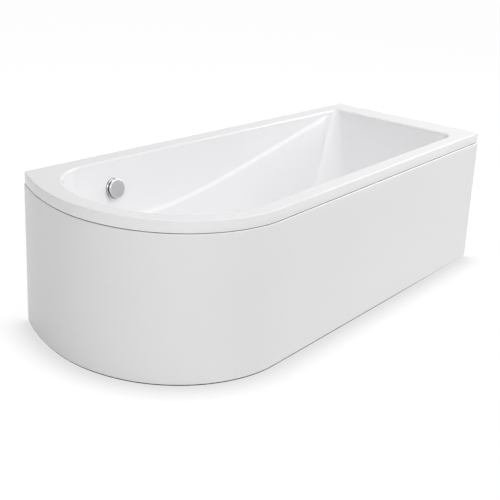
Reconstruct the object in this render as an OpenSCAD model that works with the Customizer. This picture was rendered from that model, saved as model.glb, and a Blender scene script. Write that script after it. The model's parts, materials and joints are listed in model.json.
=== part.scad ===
// Asymmetric shower bath: a straight wall side, a square narrow right end and a round left end.
// Origin: middle of the outer box, on the floor. +X to the square end, -Y to the front, +Z up.

/* [Outline] */
// Length along the wall, over the round of the left end
length = 1800; // [1700:10:1900]
// Depth from the wall to the widest place of the front
depth = 800; // [775:5:840]
// Depth at the square right end
narrow_end = 685; // [660:5:720]
// Height of the rim above the floor
height = 520; // [515:5:560]
// Radius of the round next to the wall
end_r1 = 860; // [780:10:940]
// Radius of the middle of the left end
end_r2 = 490; // [460:10:520]
// Radius of the round at the front
end_r3 = 400; // [380:5:430]
// Direction from its centre where the wall radius meets the middle one
join_high = 172; // [168:1:175]
// Direction where the middle radius meets the front one
join_low = 203; // [198:1:208]

/* [Rim] */
// Thickness of the moulded sheet
sheet_t = 5; // [4:0.5:6]
// Height of the skirt under the rim
skirt_h = 38; // [32:1:44]
// Width of the flat rim along the front
rim_front = 62; // [58:1:70]
// Width of the flat rim along the wall
rim_back = 65; // [60:1:72]
// Width of the flat rim at the square end
rim_right = 115; // [105:1:130]
// Radius where the rim turns down into the basin
roll_r = 8; // [6:1:10]
// Radius of the rim's outer edge
rim_edge_r = 3; // [2:0.5:4]

/* [Basin] */
// Depth of the basin floor below the rim
basin_depth = 400; // [370:5:405]
// Lean of the side walls from upright
wall_lean = 10; // [8:1:12]
// Lean of the square end's wall from upright
end_lean = 24; // [18:1:28]
// Radius between the side walls and the floor
floor_r = 70; // [55:5:80]
// Radius between the square end's wall and the floor
end_floor_r = 170; // [140:10:190]
// Radius of the basin's left end, where it leaves the front round
basin_r2 = 420; // [400:5:440]
// Direction where it leaves the front round
basin_join = 195; // [192:1:198]
// Radius of the back left corner of the basin
corner_left_r = 220; // [190:5:240]
// Radius of the back right corner at the rim
corner_back_r = 22; // [18:1:40]
// Radius of the front right corner at the rim
corner_front_r = 58; // [45:1:70]
// Growth of both right corners' radius for each unit of depth
corner_growth = 0.35; // [0.2:0.05:0.45]
// Fall of the crease for each unit of length
crease_slope = 0.213; // [0.15:0.01:0.25]
// Depth at which the crease levels out
crease_level = 210; // [170:5:240]
// Width of the step at the crease
ledge_w = 12; // [8:1:16]
// Height of the step at the crease
ledge_drop = 7; // [5:1:10]

/* [Panel] */
// Thickness of the front panel
panel_t = 4; // [3.5:0.5:5]
// How far the panel stands proud of the skirt
panel_proud = 2.5; // [1.5:0.5:4]
// Gap between the skirt and the panel's top edge
panel_top_gap = 2; // [1:0.5:4]
// Gap between the panel and the floor
panel_foot_gap = 4; // [3:0.5:8]
// Radius of the panel's top edge
panel_edge_r = 3; // [1.5:0.5:3]
// Room between a holder and the panel's inner face
holder_gap = 0.4; // [0.35:0.05:0.8]

/* [Frame] */
// Thickness of the board under the floor
board_t = 15; // [12:1:18]
// Length of the board beyond the waste at the left
board_left = 155; // [145:5:165]
// Distance of the board's right end from the basin's right edge
board_right = 315; // [305:5:345]
// Front edge of the board
board_front = -110; // [-120:5:-100]
// Back edge of the board
board_back = 175; // [165:5:180]
// Place of the left rail along the length
rail_left_x = -300; // [-340:5:-240]
// Place of the right rail along the length
rail_right_x = 330; // [300:5:380]
// Width of a rail
rail_w = 30; // [28:1:36]
// Height of a rail
rail_h = 25; // [22:1:28]
// Sheet thickness of the steel parts
steel_t = 2.5; // [2:0.5:3]
// Distance of the front feet from the panel's outer face
foot_front_inset = 130; // [115:5:140]
// Distance of the back feet from the wall
foot_back_inset = 150; // [145:5:165]
// Radius of the studs
stud_r = 5; // [4:0.5:6]
// Room round a stud in its nuts
stud_clear = 0.05; // [0.03:0.01:0.08]
// Width over flats of the lock nuts
nut_w = 17; // [16:1:20]
// Height of the lock nuts
nut_h = 8; // [6:1:9]
// Radius of a foot pad
pad_r = 22; // [18:1:26]
// Height of a foot pad
pad_h = 12; // [10:1:15]
// Length of stud above the rail's top
stud_over = 12; // [10:1:14]
// Place of the middle foot along the length
centre_x = 40; // [0:5:100]
// Place of the middle foot across
centre_y = 30; // [10:5:60]
// Width of the timber battens under the rim
batten_w = 30; // [24:1:34]
// Height of the timber battens
batten_h = 20; // [16:1:24]

/* [Wall brackets] */
// Distance between the two wall brackets
bracket_pitch = 700; // [600:10:800]
// Middle of the two brackets along the length
bracket_mid_x = 100; // [50:5:140]
// Width of a bracket
bracket_w = 40; // [36:1:50]
// Distance between the two screw holes of a bracket
hole_pitch = 30; // [26:1:34]
// Radius of the screw holes
hole_r = 2.75; // [2.25:0.25:3.25]

/* [Overflow and waste] */
// Distance of the overflow and the waste from where the basin's left corner starts
overflow_set = 99; // [80:1:110]
// Depth of the overflow's centre below the rim
overflow_depth = 98; // [85:1:105]
// Radius of the overflow's hole in the wall
overflow_hole_r = 26; // [25:0.5:27]
// Outer radius of the overflow's chrome ring
ring_r = 36; // [34:0.5:38]
// Thickness of the chrome ring
ring_h = 6; // [5:0.5:7]
// Radius of the knob's face
knob_r = 32; // [28:0.5:33]
// Distance of the knob's face from the wall
knob_out = 20; // [20:1:28]
// Room between the ring and the knob
knob_gap = 3; // [2:0.5:4]
// Radius of the knob's spindle
spindle_r = 6; // [5:0.5:7]
// Running room round the spindle and the lift pin
run_clear = 0.05; // [0.03:0.01:0.08]
// Outer radius of the overflow body
body_r = 34; // [33:0.5:36]
// Depth of the overflow body behind the wall
body_depth = 38; // [34:1:42]
// Wall thickness of the plastic fittings
fitting_t = 3; // [2.5:0.5:3.5]
// Outer radius of the overflow hose
hose_r = 16; // [15:0.5:17]
// Radius of the hose's bend
hose_bend = 50; // [40:5:60]
// Outer radius of the pull cable
cable_r = 2.5; // [2:0.25:3]
// Place of the waste across
waste_y = 40; // [30:5:60]
// Radius of the waste hole in the floor
waste_hole_r = 26; // [25:0.5:27]
// Radius of the chrome flange in the floor
flange_r = 35; // [33:0.5:37]
// Radius of the lifting plug
plug_r = 20; // [18:0.5:21]
// Outer radius of the waste body
waste_r = 30; // [29:0.5:32]
// Height of the waste body below the gasket
waste_h = 46; // [44:1:48]
// Travel of the plug
plug_lift = 10; // [8:1:12]
// Outer radius of the trap's outlet
outlet_r = 20; // [19:0.5:21]
// Length of the trap's outlet beyond its collar
outlet_l = 45; // [40:1:60]
// Radius of the trap's bottle
bottle_r = 38; // [36:0.5:42]

/* [Hidden] */
$fn = 64;
eps = 0.01;
// how far a cut runs past the faces that it opens
over_cut = 1;
// facets round a small screw, and round a turned chrome part
screw_fn = 24;
turned_fn = 96;

// ---- plan outline: three rounds that touch each other, then a straight front ----
wall_y = depth / 2;
right_x = length / 2;
front_corner = [right_x, wall_y - narrow_end];
c3 = [-right_x + end_r2 + (end_r2 - end_r3) * cos(join_low), -wall_y + end_r3];
c2 = c3 - (end_r2 - end_r3) * unit(join_low);
c1 = c2 + (end_r2 - end_r1) * unit(join_high);
front_span = front_corner - c3;
front_angle = atan2(front_span.y, front_span.x) + asin(end_r3 / norm(front_span));
front_join = 270 + front_angle;

function unit(a) = [cos(a), sin(a)];
function mix(a, b, t) = a + (b - a) * t;
function clamp01(t) = min(1, max(0, t));
function smooth(t) = t * t * (3 - 2 * t);

// direction from c1 to the outline's end at the wall side, for an outline drawn in by inset
function wall_dir(inset, yb) = 180 - asin((yb - c1.y) / (end_r1 - inset));
// point where the front round drawn in by inset meets the straight front
function front_start(inset) = c3 + (end_r3 - inset) * unit(front_join);
// y of the straight front, drawn in by inset, at x
function front_y(x, inset) = front_start(inset).y + (x - front_start(inset).x) * tan(front_angle);

// ---- basin outline at the rim ----
floor_z = height - basin_depth;
basin_r3 = end_r3 - rim_front;
basin_c2 = c3 - (basin_r2 - basin_r3) * unit(basin_join);
basin_back = wall_y - rim_back;
basin_right = right_x - rim_right;
// x at which the left corner of the basin is measured for the crease
crease_ref_x = basin_c2.x - basin_r2 / 2;
crease_lead = 6;
crease_sharp = 8;
crease_start = roll_r + crease_lead;
ledge_fade = 60;

// depth of the crease at x: a straight fall from the right end that levels out
function crease_fall(x) = max(basin_right - x, 0) * crease_slope;
function crease_soft(f) = f / pow(1 + pow(f / crease_level, crease_sharp), 1 / crease_sharp);
function crease(x) = max(crease_start, crease_soft(crease_fall(x)));
// width of the step at the crease, which fades out towards the right end
function ledge(x) = ledge_w * smooth(clamp01((crease(x) - crease_start) / ledge_fade));

// Rings of the basin. A ring is [kind, place]: 0 roll, 1 upper wall, 2 step, 3 lower wall, 4 floor round.
// Each gives [inset, depth, slope angle] on a side wall at x, and on the end wall.
function wall_inset(d, lean) = (d - roll_r) * tan(lean);
function round_top(lean, r) = basin_depth - r * (1 - sin(lean));
function roll_row(p) = [-roll_r * (1 - sin(p * 90)), roll_r * (1 - cos(p * 90)), 0];
function round_row(p, lean, r, extra) = [
    wall_inset(round_top(lean, r), lean) + extra + r * (cos(lean) - cos(mix(lean, 90, p))),
    basin_depth - r * (1 - sin(mix(lean, 90, p))),
    mix(lean, 90, p)];
function wall_row(d, lean, extra) = [wall_inset(d, lean) + extra, d, lean];
function side_row(ring, x) =
    ring[0] == 0 ? roll_row(ring[1]) :
    ring[0] == 1 ? wall_row(mix(roll_r, crease(x), ring[1]), wall_lean, 0) :
    ring[0] == 2 ? wall_row(crease(x) + ledge_drop * ring[1], wall_lean, ledge(x) * ring[1]) :
    ring[0] == 3 ? wall_row(mix(crease(x) + ledge_drop, round_top(wall_lean, floor_r), ring[1]),
        wall_lean, ledge(x)) :
    round_row(ring[1], wall_lean, floor_r, ledge(x));
function end_row(ring) =
    ring[0] == 0 ? roll_row(ring[1]) :
    ring[0] == 1 ? wall_row(mix(roll_r, crease_start, ring[1]), end_lean, 0) :
    ring[0] == 2 ? wall_row(crease_start + ledge_drop * ring[1], end_lean, 0) :
    ring[0] == 3 ? wall_row(mix(crease_start + ledge_drop, round_top(end_lean, end_floor_r), ring[1]),
        end_lean, 0) :
    round_row(ring[1], end_lean, end_floor_r, 0);
// the same row on the sheet's other face
function thick(row, t) = [row[0] - t * cos(row[2]), row[1] + t * sin(row[2]), row[2]];

// The outline's samples: [stretch, place]. Stretches run anticlockwise from the wall side's left end:
// back left corner, left end, front round, front, front right corner, right end, back right corner, back.
stretch_steps = [10, 6, 14, 12, 8, 4, 8, 14];
samples = [for (s = [0:len(stretch_steps) - 1]) for (k = [0:stretch_steps[s] - 1]) [s, k / stretch_steps[s]]];
corner_run = 60;

// one point of the rim's outer outline, drawn in by inset, with its wall side at yb and its right end at xr
function rim_point(s, t, inset, yb, xr) =
    s == 0 ? (t <= 0.5 ?
        [mix(crease_ref_x, c1.x + (end_r1 - inset) * cos(wall_dir(inset, yb)), 2 * t), yb] :
        c1 + (end_r1 - inset) * unit(mix(wall_dir(inset, yb), join_high, 2 * t - 1))) :
    s == 1 ? c2 + (end_r2 - inset) * unit(mix(join_high, join_low, t)) :
    s == 2 ? c3 + (end_r3 - inset) * unit(mix(join_low, front_join, t)) :
    s == 3 ? on_front(mix(front_start(inset).x, xr - corner_run, t), inset) :
    s == 4 ? (t <= 0.5 ? on_front(mix(xr - corner_run, xr, 2 * t), inset) :
        [xr, front_y(xr, inset) + corner_run * (2 * t - 1)]) :
    s == 5 ? [xr, mix(front_y(xr, inset) + corner_run, yb - corner_run, t)] :
    s == 6 ? (t <= 0.5 ? [xr, mix(yb - corner_run, yb, 2 * t)] : [xr - corner_run * (2 * t - 1), yb]) :
    [mix(xr - corner_run, crease_ref_x, t), yb];
function on_front(x, inset) = [x, front_y(x, inset)];
function rim_ring(inset, back, right, z) = [for (p = samples)
    let (q = rim_point(p[0], p[1], inset, wall_y - back, right_x - right)) [q.x, q.y, z]];

// one point of a basin ring; t_out is the sheet's thickness on the outer face and 0 on the inner one
function basin_side(ring, x, t_out) = thick(side_row(ring, x), t_out);
left_shrink = 0.35;
function left_corner_r(i) = corner_left_r - left_shrink * i;
function left_centre(i) =
    let (r = left_corner_r(i), y = basin_back - i - r, reach = basin_r2 - i - r)
    [basin_c2.x - sqrt(reach * reach - (y - basin_c2.y) * (y - basin_c2.y)), y];
function basin_point(ring, s, t, t_out) =
    s <= 2 ? left_point(s, t, basin_side(ring, crease_ref_x, t_out)) :
    s == 3 ? front_point(ring, t, t_out) :
    s == 7 ? back_point(ring, t, t_out) :
    right_point(ring, s, t, t_out);
function left_point(s, t, row) =
    let (i = row[0], m = left_centre(i), a = 180 - atan2(m.y - basin_c2.y, basin_c2.x - m.x),
        q = s == 0 ? m + left_corner_r(i) * unit(mix(90, a, t)) :
            s == 1 ? basin_c2 + (basin_r2 - i) * unit(mix(a, basin_join, t)) :
            c3 + (basin_r3 - i) * unit(mix(basin_join, front_join, t)))
    [q.x, q.y, height - row[1]];
// corner circles at the right: [radius, centre x, back centre y, front centre y]
function back_circle(ring, t_out) =
    let (e = thick(end_row(ring), t_out), i = basin_side(ring, basin_right, t_out)[0],
        r = corner_back_r + corner_growth * e[1])
    [r, basin_right - e[0] - r, basin_back - i - r];
function front_circle(ring, t_out) =
    let (e = thick(end_row(ring), t_out), i = basin_side(ring, basin_right, t_out)[0],
        r = corner_front_r + corner_growth * e[1], x = basin_right - e[0] - r)
    [r, x, front_y(x, rim_front + i + r)];
function front_point(ring, t, t_out) =
    let (c = front_circle(ring, t_out), i0 = basin_side(ring, crease_ref_x, t_out)[0],
        x0 = front_start(rim_front + i0).x, x1 = c[1] + c[0] * sin(front_angle),
        x = mix(x0, x1, t), row = basin_side(ring, x, t_out))
    [x, front_y(x, rim_front + row[0]), height - row[1]];
function back_point(ring, t, t_out) =
    let (c = back_circle(ring, t_out), i0 = basin_side(ring, crease_ref_x, t_out)[0],
        x = mix(c[1], left_centre(i0).x, t), row = basin_side(ring, x, t_out))
    [x, basin_back - row[0], height - row[1]];
function right_point(ring, s, t, t_out) =
    let (f = front_circle(ring, t_out), b = back_circle(ring, t_out),
        ds = basin_side(ring, basin_right, t_out)[1], de = thick(end_row(ring), t_out)[1],
        q = s == 4 ? [f[1], f[2]] + f[0] * unit(mix(270 + front_angle, 360, t)) :
            s == 5 ? [f[1] + f[0], mix(f[2], b[2], t)] :
            [b[1], b[2]] + b[0] * unit(mix(0, 90, t)),
        d = s == 4 ? mix(ds, de, smooth(t)) : s == 5 ? de : mix(de, ds, smooth(t)))
    [q.x, q.y, height - d];
function basin_ring(ring, t_out) = [for (p = samples) basin_point(ring, p[0], p[1], t_out)];

inner_rings = [[4, 1], [4, 0.8], [4, 0.6], [4, 0.4], [4, 0.2], [4, 0], [3, 0.66], [3, 0.33], [2, 1],
    [2, 0.5], [1, 1], [1, 0.5], [0, 1], [0, 0.5], [0, 0]];
outer_rings = [[1, 0.3], [1, 1], [2, 1], [3, 0.5], [4, 0], [4, 0.25], [4, 0.5], [4, 0.75], [4, 1]];

// closed skin through rings of equal count, capped round a middle point at the first and the last
function middle(ring) = [for (a = [0:2]) (min([for (p = ring) p[a]]) + max([for (p = ring) p[a]])) / 2];
module skin(rings) {
    n = len(rings[0]);
    top = len(rings) - 1;
    points = concat([for (r = rings) for (p = r) p], [middle(rings[0]), middle(rings[top])]);
    sides = [for (r = [0:top - 1]) for (k = [0:n - 1])
        let (a = r * n + k, b = r * n + (k + 1) % n) each [[a, b, a + n], [b, b + n, a + n]]];
    first = [for (k = [0:n - 1]) [(k + 1) % n, k, (top + 1) * n]];
    last = [for (k = [0:n - 1]) [top * n + k, top * n + (k + 1) % n, (top + 1) * n + 1]];
    polyhedron(points, concat(first, sides, last));
}

// ---- places on the overflow's wall ----
overflow_x = round(left_centre(wall_inset(overflow_depth, wall_lean)).x + overflow_set);
overflow_at = [overflow_x, basin_back - wall_inset(overflow_depth, wall_lean), height - overflow_depth];
module on_overflow() {
    translate(overflow_at) rotate([90 - wall_lean, 0, 0]) children();
}
gasket_h = 3;
body_top = -sheet_t - gasket_h;
// axis of the overflow body's outlet, straight down at the middle of its depth
body_mid = (body_top - fitting_t - body_depth) / 2;
outlet_y = overflow_at.y - body_mid * cos(wall_lean);
outlet_z = overflow_at.z + body_mid * sin(wall_lean);
nut_t = 4;
hose_gap = 1;
hose_top = outlet_z - body_r / cos(wall_lean) - (hose_r + nut_t) * tan(wall_lean) - hose_gap;
hole_play = 0.5;
neck_r = overflow_hole_r - hole_play;
neck_t = 3;
bush_t = 4;
bush_r = spindle_r + bush_t;

// ---- heights under the floor ----
shell_under = floor_z - sheet_t;
board_under = shell_under - board_t;
rail_under = board_under - rail_h;
waste_top = shell_under - gasket_h;
waste_under = waste_top - waste_h;
hose_drop = 32;
hose_z = waste_top - hose_drop;
spigot_r = hose_r - fitting_t;
spigot_l = 20;
tube_r = 20;
tube_drop = 18;
tube_in = 3;
tube_under = waste_under - tube_drop;
bottle_top = tube_under + tube_in;
bottle_h = 42;
bottle_under = bottle_top - bottle_h;
waste_at = [overflow_x, waste_y];
board_x0 = waste_at.x - board_left;
board_x1 = basin_right - board_right;

/* ---------------------------------------------------------------- shell and panel */

// share of the edge's radius at the middle of its rounding
edge_share = 0.3;
hole_reach = 3 * sheet_t;

module bath_shell() {
    under_t = sheet_t;
    mid = edge_share * rim_edge_r;
    skirt_z = height - skirt_h;
    edge = panel_proud;
    rings = concat(
        [for (r = inner_rings) basin_ring(r, 0)],
        [rim_ring(edge + rim_edge_r, rim_edge_r, rim_edge_r, height),
         rim_ring(edge + mid, mid, mid, height - mid),
         rim_ring(edge, 0, 0, height - rim_edge_r),
         rim_ring(edge, 0, 0, skirt_z),
         rim_ring(edge + under_t, under_t, under_t, skirt_z),
         rim_ring(edge + under_t, under_t, under_t, height - under_t)],
        [rim_under_ring()],
        [for (r = outer_rings) basin_ring(r, under_t)]);
    color("white")
    difference() {
        skin(rings);
        translate([waste_at.x, waste_at.y, floor_z - hole_reach])
        cylinder(r = waste_hole_r, h = 2 * hole_reach);
        on_overflow() translate([0, 0, -hole_reach]) cylinder(r = overflow_hole_r, h = 2 * hole_reach);
    }
}

// inner edge of the rim's underside: the basin's outer face, brought up to the underside
function rim_under_ring() = [for (p = basin_ring([1, 0], sheet_t)) [p.x, p.y, height - sheet_t]];

panel_top = height - skirt_h - panel_top_gap;
panel_h = panel_top - panel_foot_gap;

edge_steps = 6;

// section of the panel as [inset, height], anticlockwise from the foot of its inner face
panel_section = concat([[panel_t, 0], [0, 0]],
    [for (k = [0:edge_steps])
        [panel_edge_r, panel_h - panel_edge_r]
        + panel_edge_r * [-cos(90 * k / edge_steps), sin(90 * k / edge_steps)]],
    [[panel_t, panel_h]]);
// places along the panel as in rim_point: the rounds from the wall, then the straight front
round_steps = [16, 19, 40];
panel_places = concat(
    [for (k = [0:round_steps[0] - 1]) [0, 0.5 + k / round_steps[0] / 2]],
    [for (k = [0:round_steps[1] - 1]) [1, k / round_steps[1]]],
    [for (k = [0:round_steps[2] - 1]) [2, k / round_steps[2]]],
    [[3, 0], [4, 0.5]]);

module front_panel() {
    color("white")
    skin([for (p = panel_places)
        [for (q = panel_section)
            let (w = rim_point(p[0], p[1], q[0], wall_y, right_x)) [w.x, w.y, panel_foot_gap + q[1]]]]);
}

/* ---------------------------------------------------------------- frame */

screw_r = 2.4;
screw_room = 0.1;
slot_room = 0.5;
head_r = 5;
head_tip_r = 3.5;
head_h = 2.5;
// distance from a screw's tip to the end of its pilot hole
tip_room = 1;
board_screw_l = 12;
rail_screws_y = [-80, 0, 80, 150];
bracket_l = 130;
centre_screws_x = [-50, 50];
stay_screws_x = [20, 44];
stay_w = 40;
stay_y = -40;
board_hole_r = 62;

// where screws enter the board from below: rails, middle bracket and end stay
board_screws = concat(
    [for (x = [rail_left_x, rail_right_x]) for (y = rail_screws_y) [x, y]],
    [for (x = centre_screws_x) [centre_x + x, centre_y]],
    [for (x = stay_screws_x) [board_x0 + x, stay_y + stay_w / 2]]);

module base_board() {
    color("burlywood")
    difference() {
        translate([board_x0, board_front, board_under])
        cube([board_x1 - board_x0, board_back - board_front, board_t]);
        translate([waste_at.x, waste_at.y, board_under - over_cut])
        cylinder(r = board_hole_r, h = board_t + 2 * over_cut);
        for (p = board_screws)
            translate([p.x, p.y, board_under - over_cut])
            cylinder(r = screw_r, h = board_screw_l + over_cut, $fn = screw_fn);
    }
}

batten_inset = 15;
batten_gap = 40;
batten_start = 60;
batten_off = 8;
clip_flange = 28;
clip_out = 3;
clip_inset = batten_inset - clip_out;
clip_screw_inset = batten_inset + batten_w / 2 - clip_out;
batten_under = height - sheet_t - batten_h;
// places of the clips: directions on the round of the left end, and x along the straight front
clip_dirs = [178, 212, 246];
clip_xs = [-250, 250, 750];
pilot_l = 14;

// local place on the panel's outer face: x outward, z up
module on_round(a) {
    c = a < join_low ? c2 : c3;
    r = a < join_low ? end_r2 : end_r3;
    translate([c.x + r * cos(a), c.y + r * sin(a), 0]) rotate([0, 0, a]) children();
}
module on_straight(x) {
    translate([x, front_y(x, 0), 0]) rotate([0, 0, front_angle - 90]) children();
}

module clip_pilots() {
    for (x = clip_xs)
        on_straight(x) translate([-clip_screw_inset, 0, batten_under - over_cut])
        cylinder(r = screw_r, h = pilot_l + over_cut, $fn = screw_fn);
}

module rim_batten_front() {
    x0 = front_start(0).x + batten_start;
    x1 = right_x - batten_gap;
    color("burlywood")
    difference() {
        translate([0, 0, batten_under])
        linear_extrude(batten_h)
        polygon([on_front(x0, batten_inset), on_front(x1, batten_inset),
            on_front(x1, batten_inset + batten_w), on_front(x0, batten_inset + batten_w)]);
        clip_pilots();
    }
}

module rim_batten_back() {
    color("burlywood")
    translate([overflow_x + batten_start, basin_back + sheet_t + batten_off, batten_under])
    cube([basin_right - overflow_x - batten_start, batten_w, batten_h]);
}

module rim_batten_end() {
    y0 = front_y(right_x, batten_inset + batten_w) + batten_gap;
    color("burlywood")
    translate([right_x - rim_right / 2 - batten_w / 2, y0, batten_under])
    cube([batten_w, wall_y - batten_gap - y0, batten_h]);
}

rail_places = [rail_left_x, rail_right_x];
rail_front_inset = 40;
rail_back_inset = 100;

// place of a foot on the rail at x
function foot_front(x) = [x, front_y(x, foot_front_inset)];
function foot_back(x) = [x, wall_y - foot_back_inset];

module rail(x) {
    y0 = front_y(x, rail_front_inset);
    run = wall_y - rail_back_inset - y0;
    color("silver")
    difference() {
        translate([x - rail_w / 2, y0, rail_under]) cube([rail_w, run, rail_h]);
        translate([x - rail_w / 2 + steel_t, y0 - over_cut, rail_under - over_cut])
        cube([rail_w - 2 * steel_t, run + 2 * over_cut, rail_h - steel_t + over_cut]);
        for (p = [foot_front(x), foot_back(x)])
            translate([p.x, p.y, rail_under]) cylinder(r = stud_r + slot_room, h = rail_h + over_cut);
        for (y = rail_screws_y)
            translate([x, y, rail_under])
            cylinder(r = screw_r + screw_room, h = rail_h + over_cut, $fn = screw_fn);
        on_straight(x) translate([-bracket_screw_inset, 0, rail_under])
        cylinder(r = screw_r + screw_room, h = rail_h + over_cut, $fn = screw_fn);
    }
}
module leg_rail_left() rail(rail_left_x);
module leg_rail_right() rail(rail_right_x);

// hat section that carries the middle foot below the board
module centre_bracket() {
    translate([centre_x, centre_y, 0])
    color("silver")
    difference() {
        union() {
            translate([-rail_w, -rail_w / 2, rail_under]) cube([2 * rail_w, rail_w, steel_t]);
            for (side = [-1, 1]) {
                translate([side * (rail_w - steel_t / 2) - steel_t / 2, -rail_w / 2, rail_under])
                cube([steel_t, rail_w, rail_h]);
                translate([side > 0 ? rail_w - steel_t : -bracket_l / 2, -rail_w / 2, board_under - steel_t])
                cube([bracket_l / 2 - rail_w + steel_t, rail_w, steel_t]);
            }
        }
        translate([0, 0, rail_under - over_cut])
        cylinder(r = stud_r + slot_room, h = steel_t + 2 * over_cut);
        for (x = centre_screws_x)
            translate([x, 0, board_under - steel_t - over_cut])
            cylinder(r = screw_r + screw_room, h = steel_t + 2 * over_cut, $fn = screw_fn);
    }
}

// screw with its head under z = 0 and its shank going up
module screw_up(shank) {
    translate([0, 0, -head_h]) cylinder(r1 = head_tip_r, r2 = head_r, h = head_h, $fn = screw_fn);
    cylinder(r = screw_r, h = shank, $fn = screw_fn);
}

module frame_screws() {
    color("silver")
    for (p = board_screws)
        translate([p.x, p.y, board_under - steel_t]) screw_up(board_screw_l + steel_t - tip_room);
}

socket_h = 4;
socket_t = 5;
pad_brim = pad_h / 3;
module stud(p, top) {
    color("silver")
    translate([p.x, p.y, pad_h - socket_h]) cylinder(r = stud_r, h = top - pad_h + socket_h);
}
module pad(p) {
    color("dimgray")
    difference() {
        translate([p.x, p.y, 0]) rotate_extrude()
        polygon([[0, 0], [pad_r, 0], [pad_r, pad_brim], [stud_r + socket_t, pad_h], [0, pad_h]]);
        translate([p.x, p.y, pad_h - socket_h]) cylinder(r = stud_r, h = socket_h + over_cut);
    }
}
rail_stud_top = board_under + stud_over;
centre_stud_top = rail_under + steel_t + nut_h + stud_over / 2;
centre_foot = [centre_x, centre_y];
module stud_left_front() stud(foot_front(rail_left_x), rail_stud_top);
module stud_left_back() stud(foot_back(rail_left_x), rail_stud_top);
module stud_right_front() stud(foot_front(rail_right_x), rail_stud_top);
module stud_right_back() stud(foot_back(rail_right_x), rail_stud_top);
module stud_centre() stud(centre_foot, centre_stud_top);
module pad_left_front() pad(foot_front(rail_left_x));
module pad_left_back() pad(foot_back(rail_left_x));
module pad_right_front() pad(foot_front(rail_right_x));
module pad_right_back() pad(foot_back(rail_right_x));
module pad_centre() pad(centre_foot);

module lock_nut() {
    difference() {
        cylinder(r = nut_w / 2 / cos(30), h = nut_h, $fn = 6);
        translate([0, 0, -over_cut]) cylinder(r = stud_r + stud_clear, h = nut_h + 2 * over_cut);
    }
}
module lock_nuts() {
    color("gainsboro") {
        for (x = rail_places) for (p = [foot_front(x), foot_back(x)]) {
            translate([p.x, p.y, board_under]) lock_nut();
            translate([p.x, p.y, board_under - steel_t - nut_h]) lock_nut();
        }
        translate([centre_x, centre_y, rail_under + steel_t]) lock_nut();
        translate([centre_x, centre_y, rail_under - nut_h]) lock_nut();
    }
}

/* ---------------------------------------------------------------- holders of the panel */

block_l = 60;
clip_w = 30;
clip_drop = 36;
tab_over = 20;
tab_under = 18;
clip_thinner = 0.5;
clip_t = steel_t - clip_thinner;

module clip_blocks() {
    color("burlywood")
    for (a = clip_dirs)
        on_round(a)
        difference() {
            translate([-batten_inset - batten_w, -block_l / 2, batten_under])
            cube([batten_w, block_l, batten_h]);
            translate([-clip_screw_inset, 0, batten_under - over_cut])
            cylinder(r = screw_r, h = pilot_l + over_cut, $fn = screw_fn);
        }
}

// folded strip, seen along the panel: flange under the timber, web down, foot forward, tab behind the panel
module clip_strip() {
    face = -panel_t - holder_gap;
    t = clip_t;
    web = -clip_inset;
    low = batten_under - clip_drop;
    difference() {
        translate([0, clip_w / 2, 0])
        rotate([90, 0, 0])
        linear_extrude(clip_w)
        polygon([[web, batten_under], [web - clip_flange, batten_under],
            [web - clip_flange, batten_under - t],
            [web - t, batten_under - t], [web - t, low], [face - t, low], [face - t, low - tab_under],
            [face, low - tab_under], [face, low + tab_over], [face - t, low + tab_over], [face - t, low + t],
            [web, low + t]]);
        translate([-clip_screw_inset, 0, batten_under - t - over_cut])
        cylinder(r = screw_r + screw_room, h = t + 2 * over_cut, $fn = screw_fn);
    }
}
module each_clip() {
    for (a = clip_dirs) on_round(a) children();
    for (x = clip_xs) on_straight(x) children();
}
module panel_clips() color("silver") each_clip() clip_strip();
module clip_screws() {
    color("silver")
    each_clip() translate([-clip_screw_inset, 0, batten_under - clip_t])
    screw_up(pilot_l + clip_t - tip_room);
}

bracket_screw_inset = 70;
plate_reach = 95;
tab_h = 60;

// lower holder: a plate on top of the rail and a tab up behind the panel
module panel_brackets() {
    face = -panel_t - holder_gap;
    color("silver")
    for (x = rail_places)
        on_straight(x)
        difference() {
            union() {
                translate([-plate_reach, -clip_w / 2, board_under])
                cube([plate_reach + face, clip_w, steel_t]);
                translate([face - steel_t, -clip_w / 2, board_under]) cube([steel_t, clip_w, tab_h]);
            }
            translate([-bracket_screw_inset, 0, board_under - over_cut])
            cylinder(r = screw_r + screw_room, h = steel_t + 2 * over_cut, $fn = screw_fn);
        }
}

stay_lap = 60;
module end_stay() {
    tip = c2.x - sqrt(pow(end_r2 - panel_t, 2) - pow(c2.y - stay_y, 2)) + holder_gap;
    color("silver")
    difference() {
        union() {
            translate([tip, stay_y, board_under - steel_t])
            cube([board_x0 + stay_lap - tip, stay_w, steel_t]);
            translate([tip, stay_y, board_under - steel_t]) cube([steel_t, stay_w, tab_h]);
        }
        for (x = stay_screws_x)
            translate([board_x0 + x, stay_y + stay_w / 2, board_under - steel_t - over_cut])
            cylinder(r = screw_r + screw_room, h = steel_t + 2 * over_cut, $fn = screw_fn);
    }
}

screw_past = 6;
module bracket_screws() {
    shank = 2 * steel_t + screw_past;
    color("silver")
    for (x = rail_places)
        on_straight(x)
        translate([-bracket_screw_inset, 0, board_under + steel_t])
        rotate([180, 0, 0]) screw_up(shank);
}

/* ---------------------------------------------------------------- wall brackets */

hook_rise = 26;
hook_gap = 1;
plate_drop = 70;
hole_rise = 15;
skirt_under = height - skirt_h;

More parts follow.
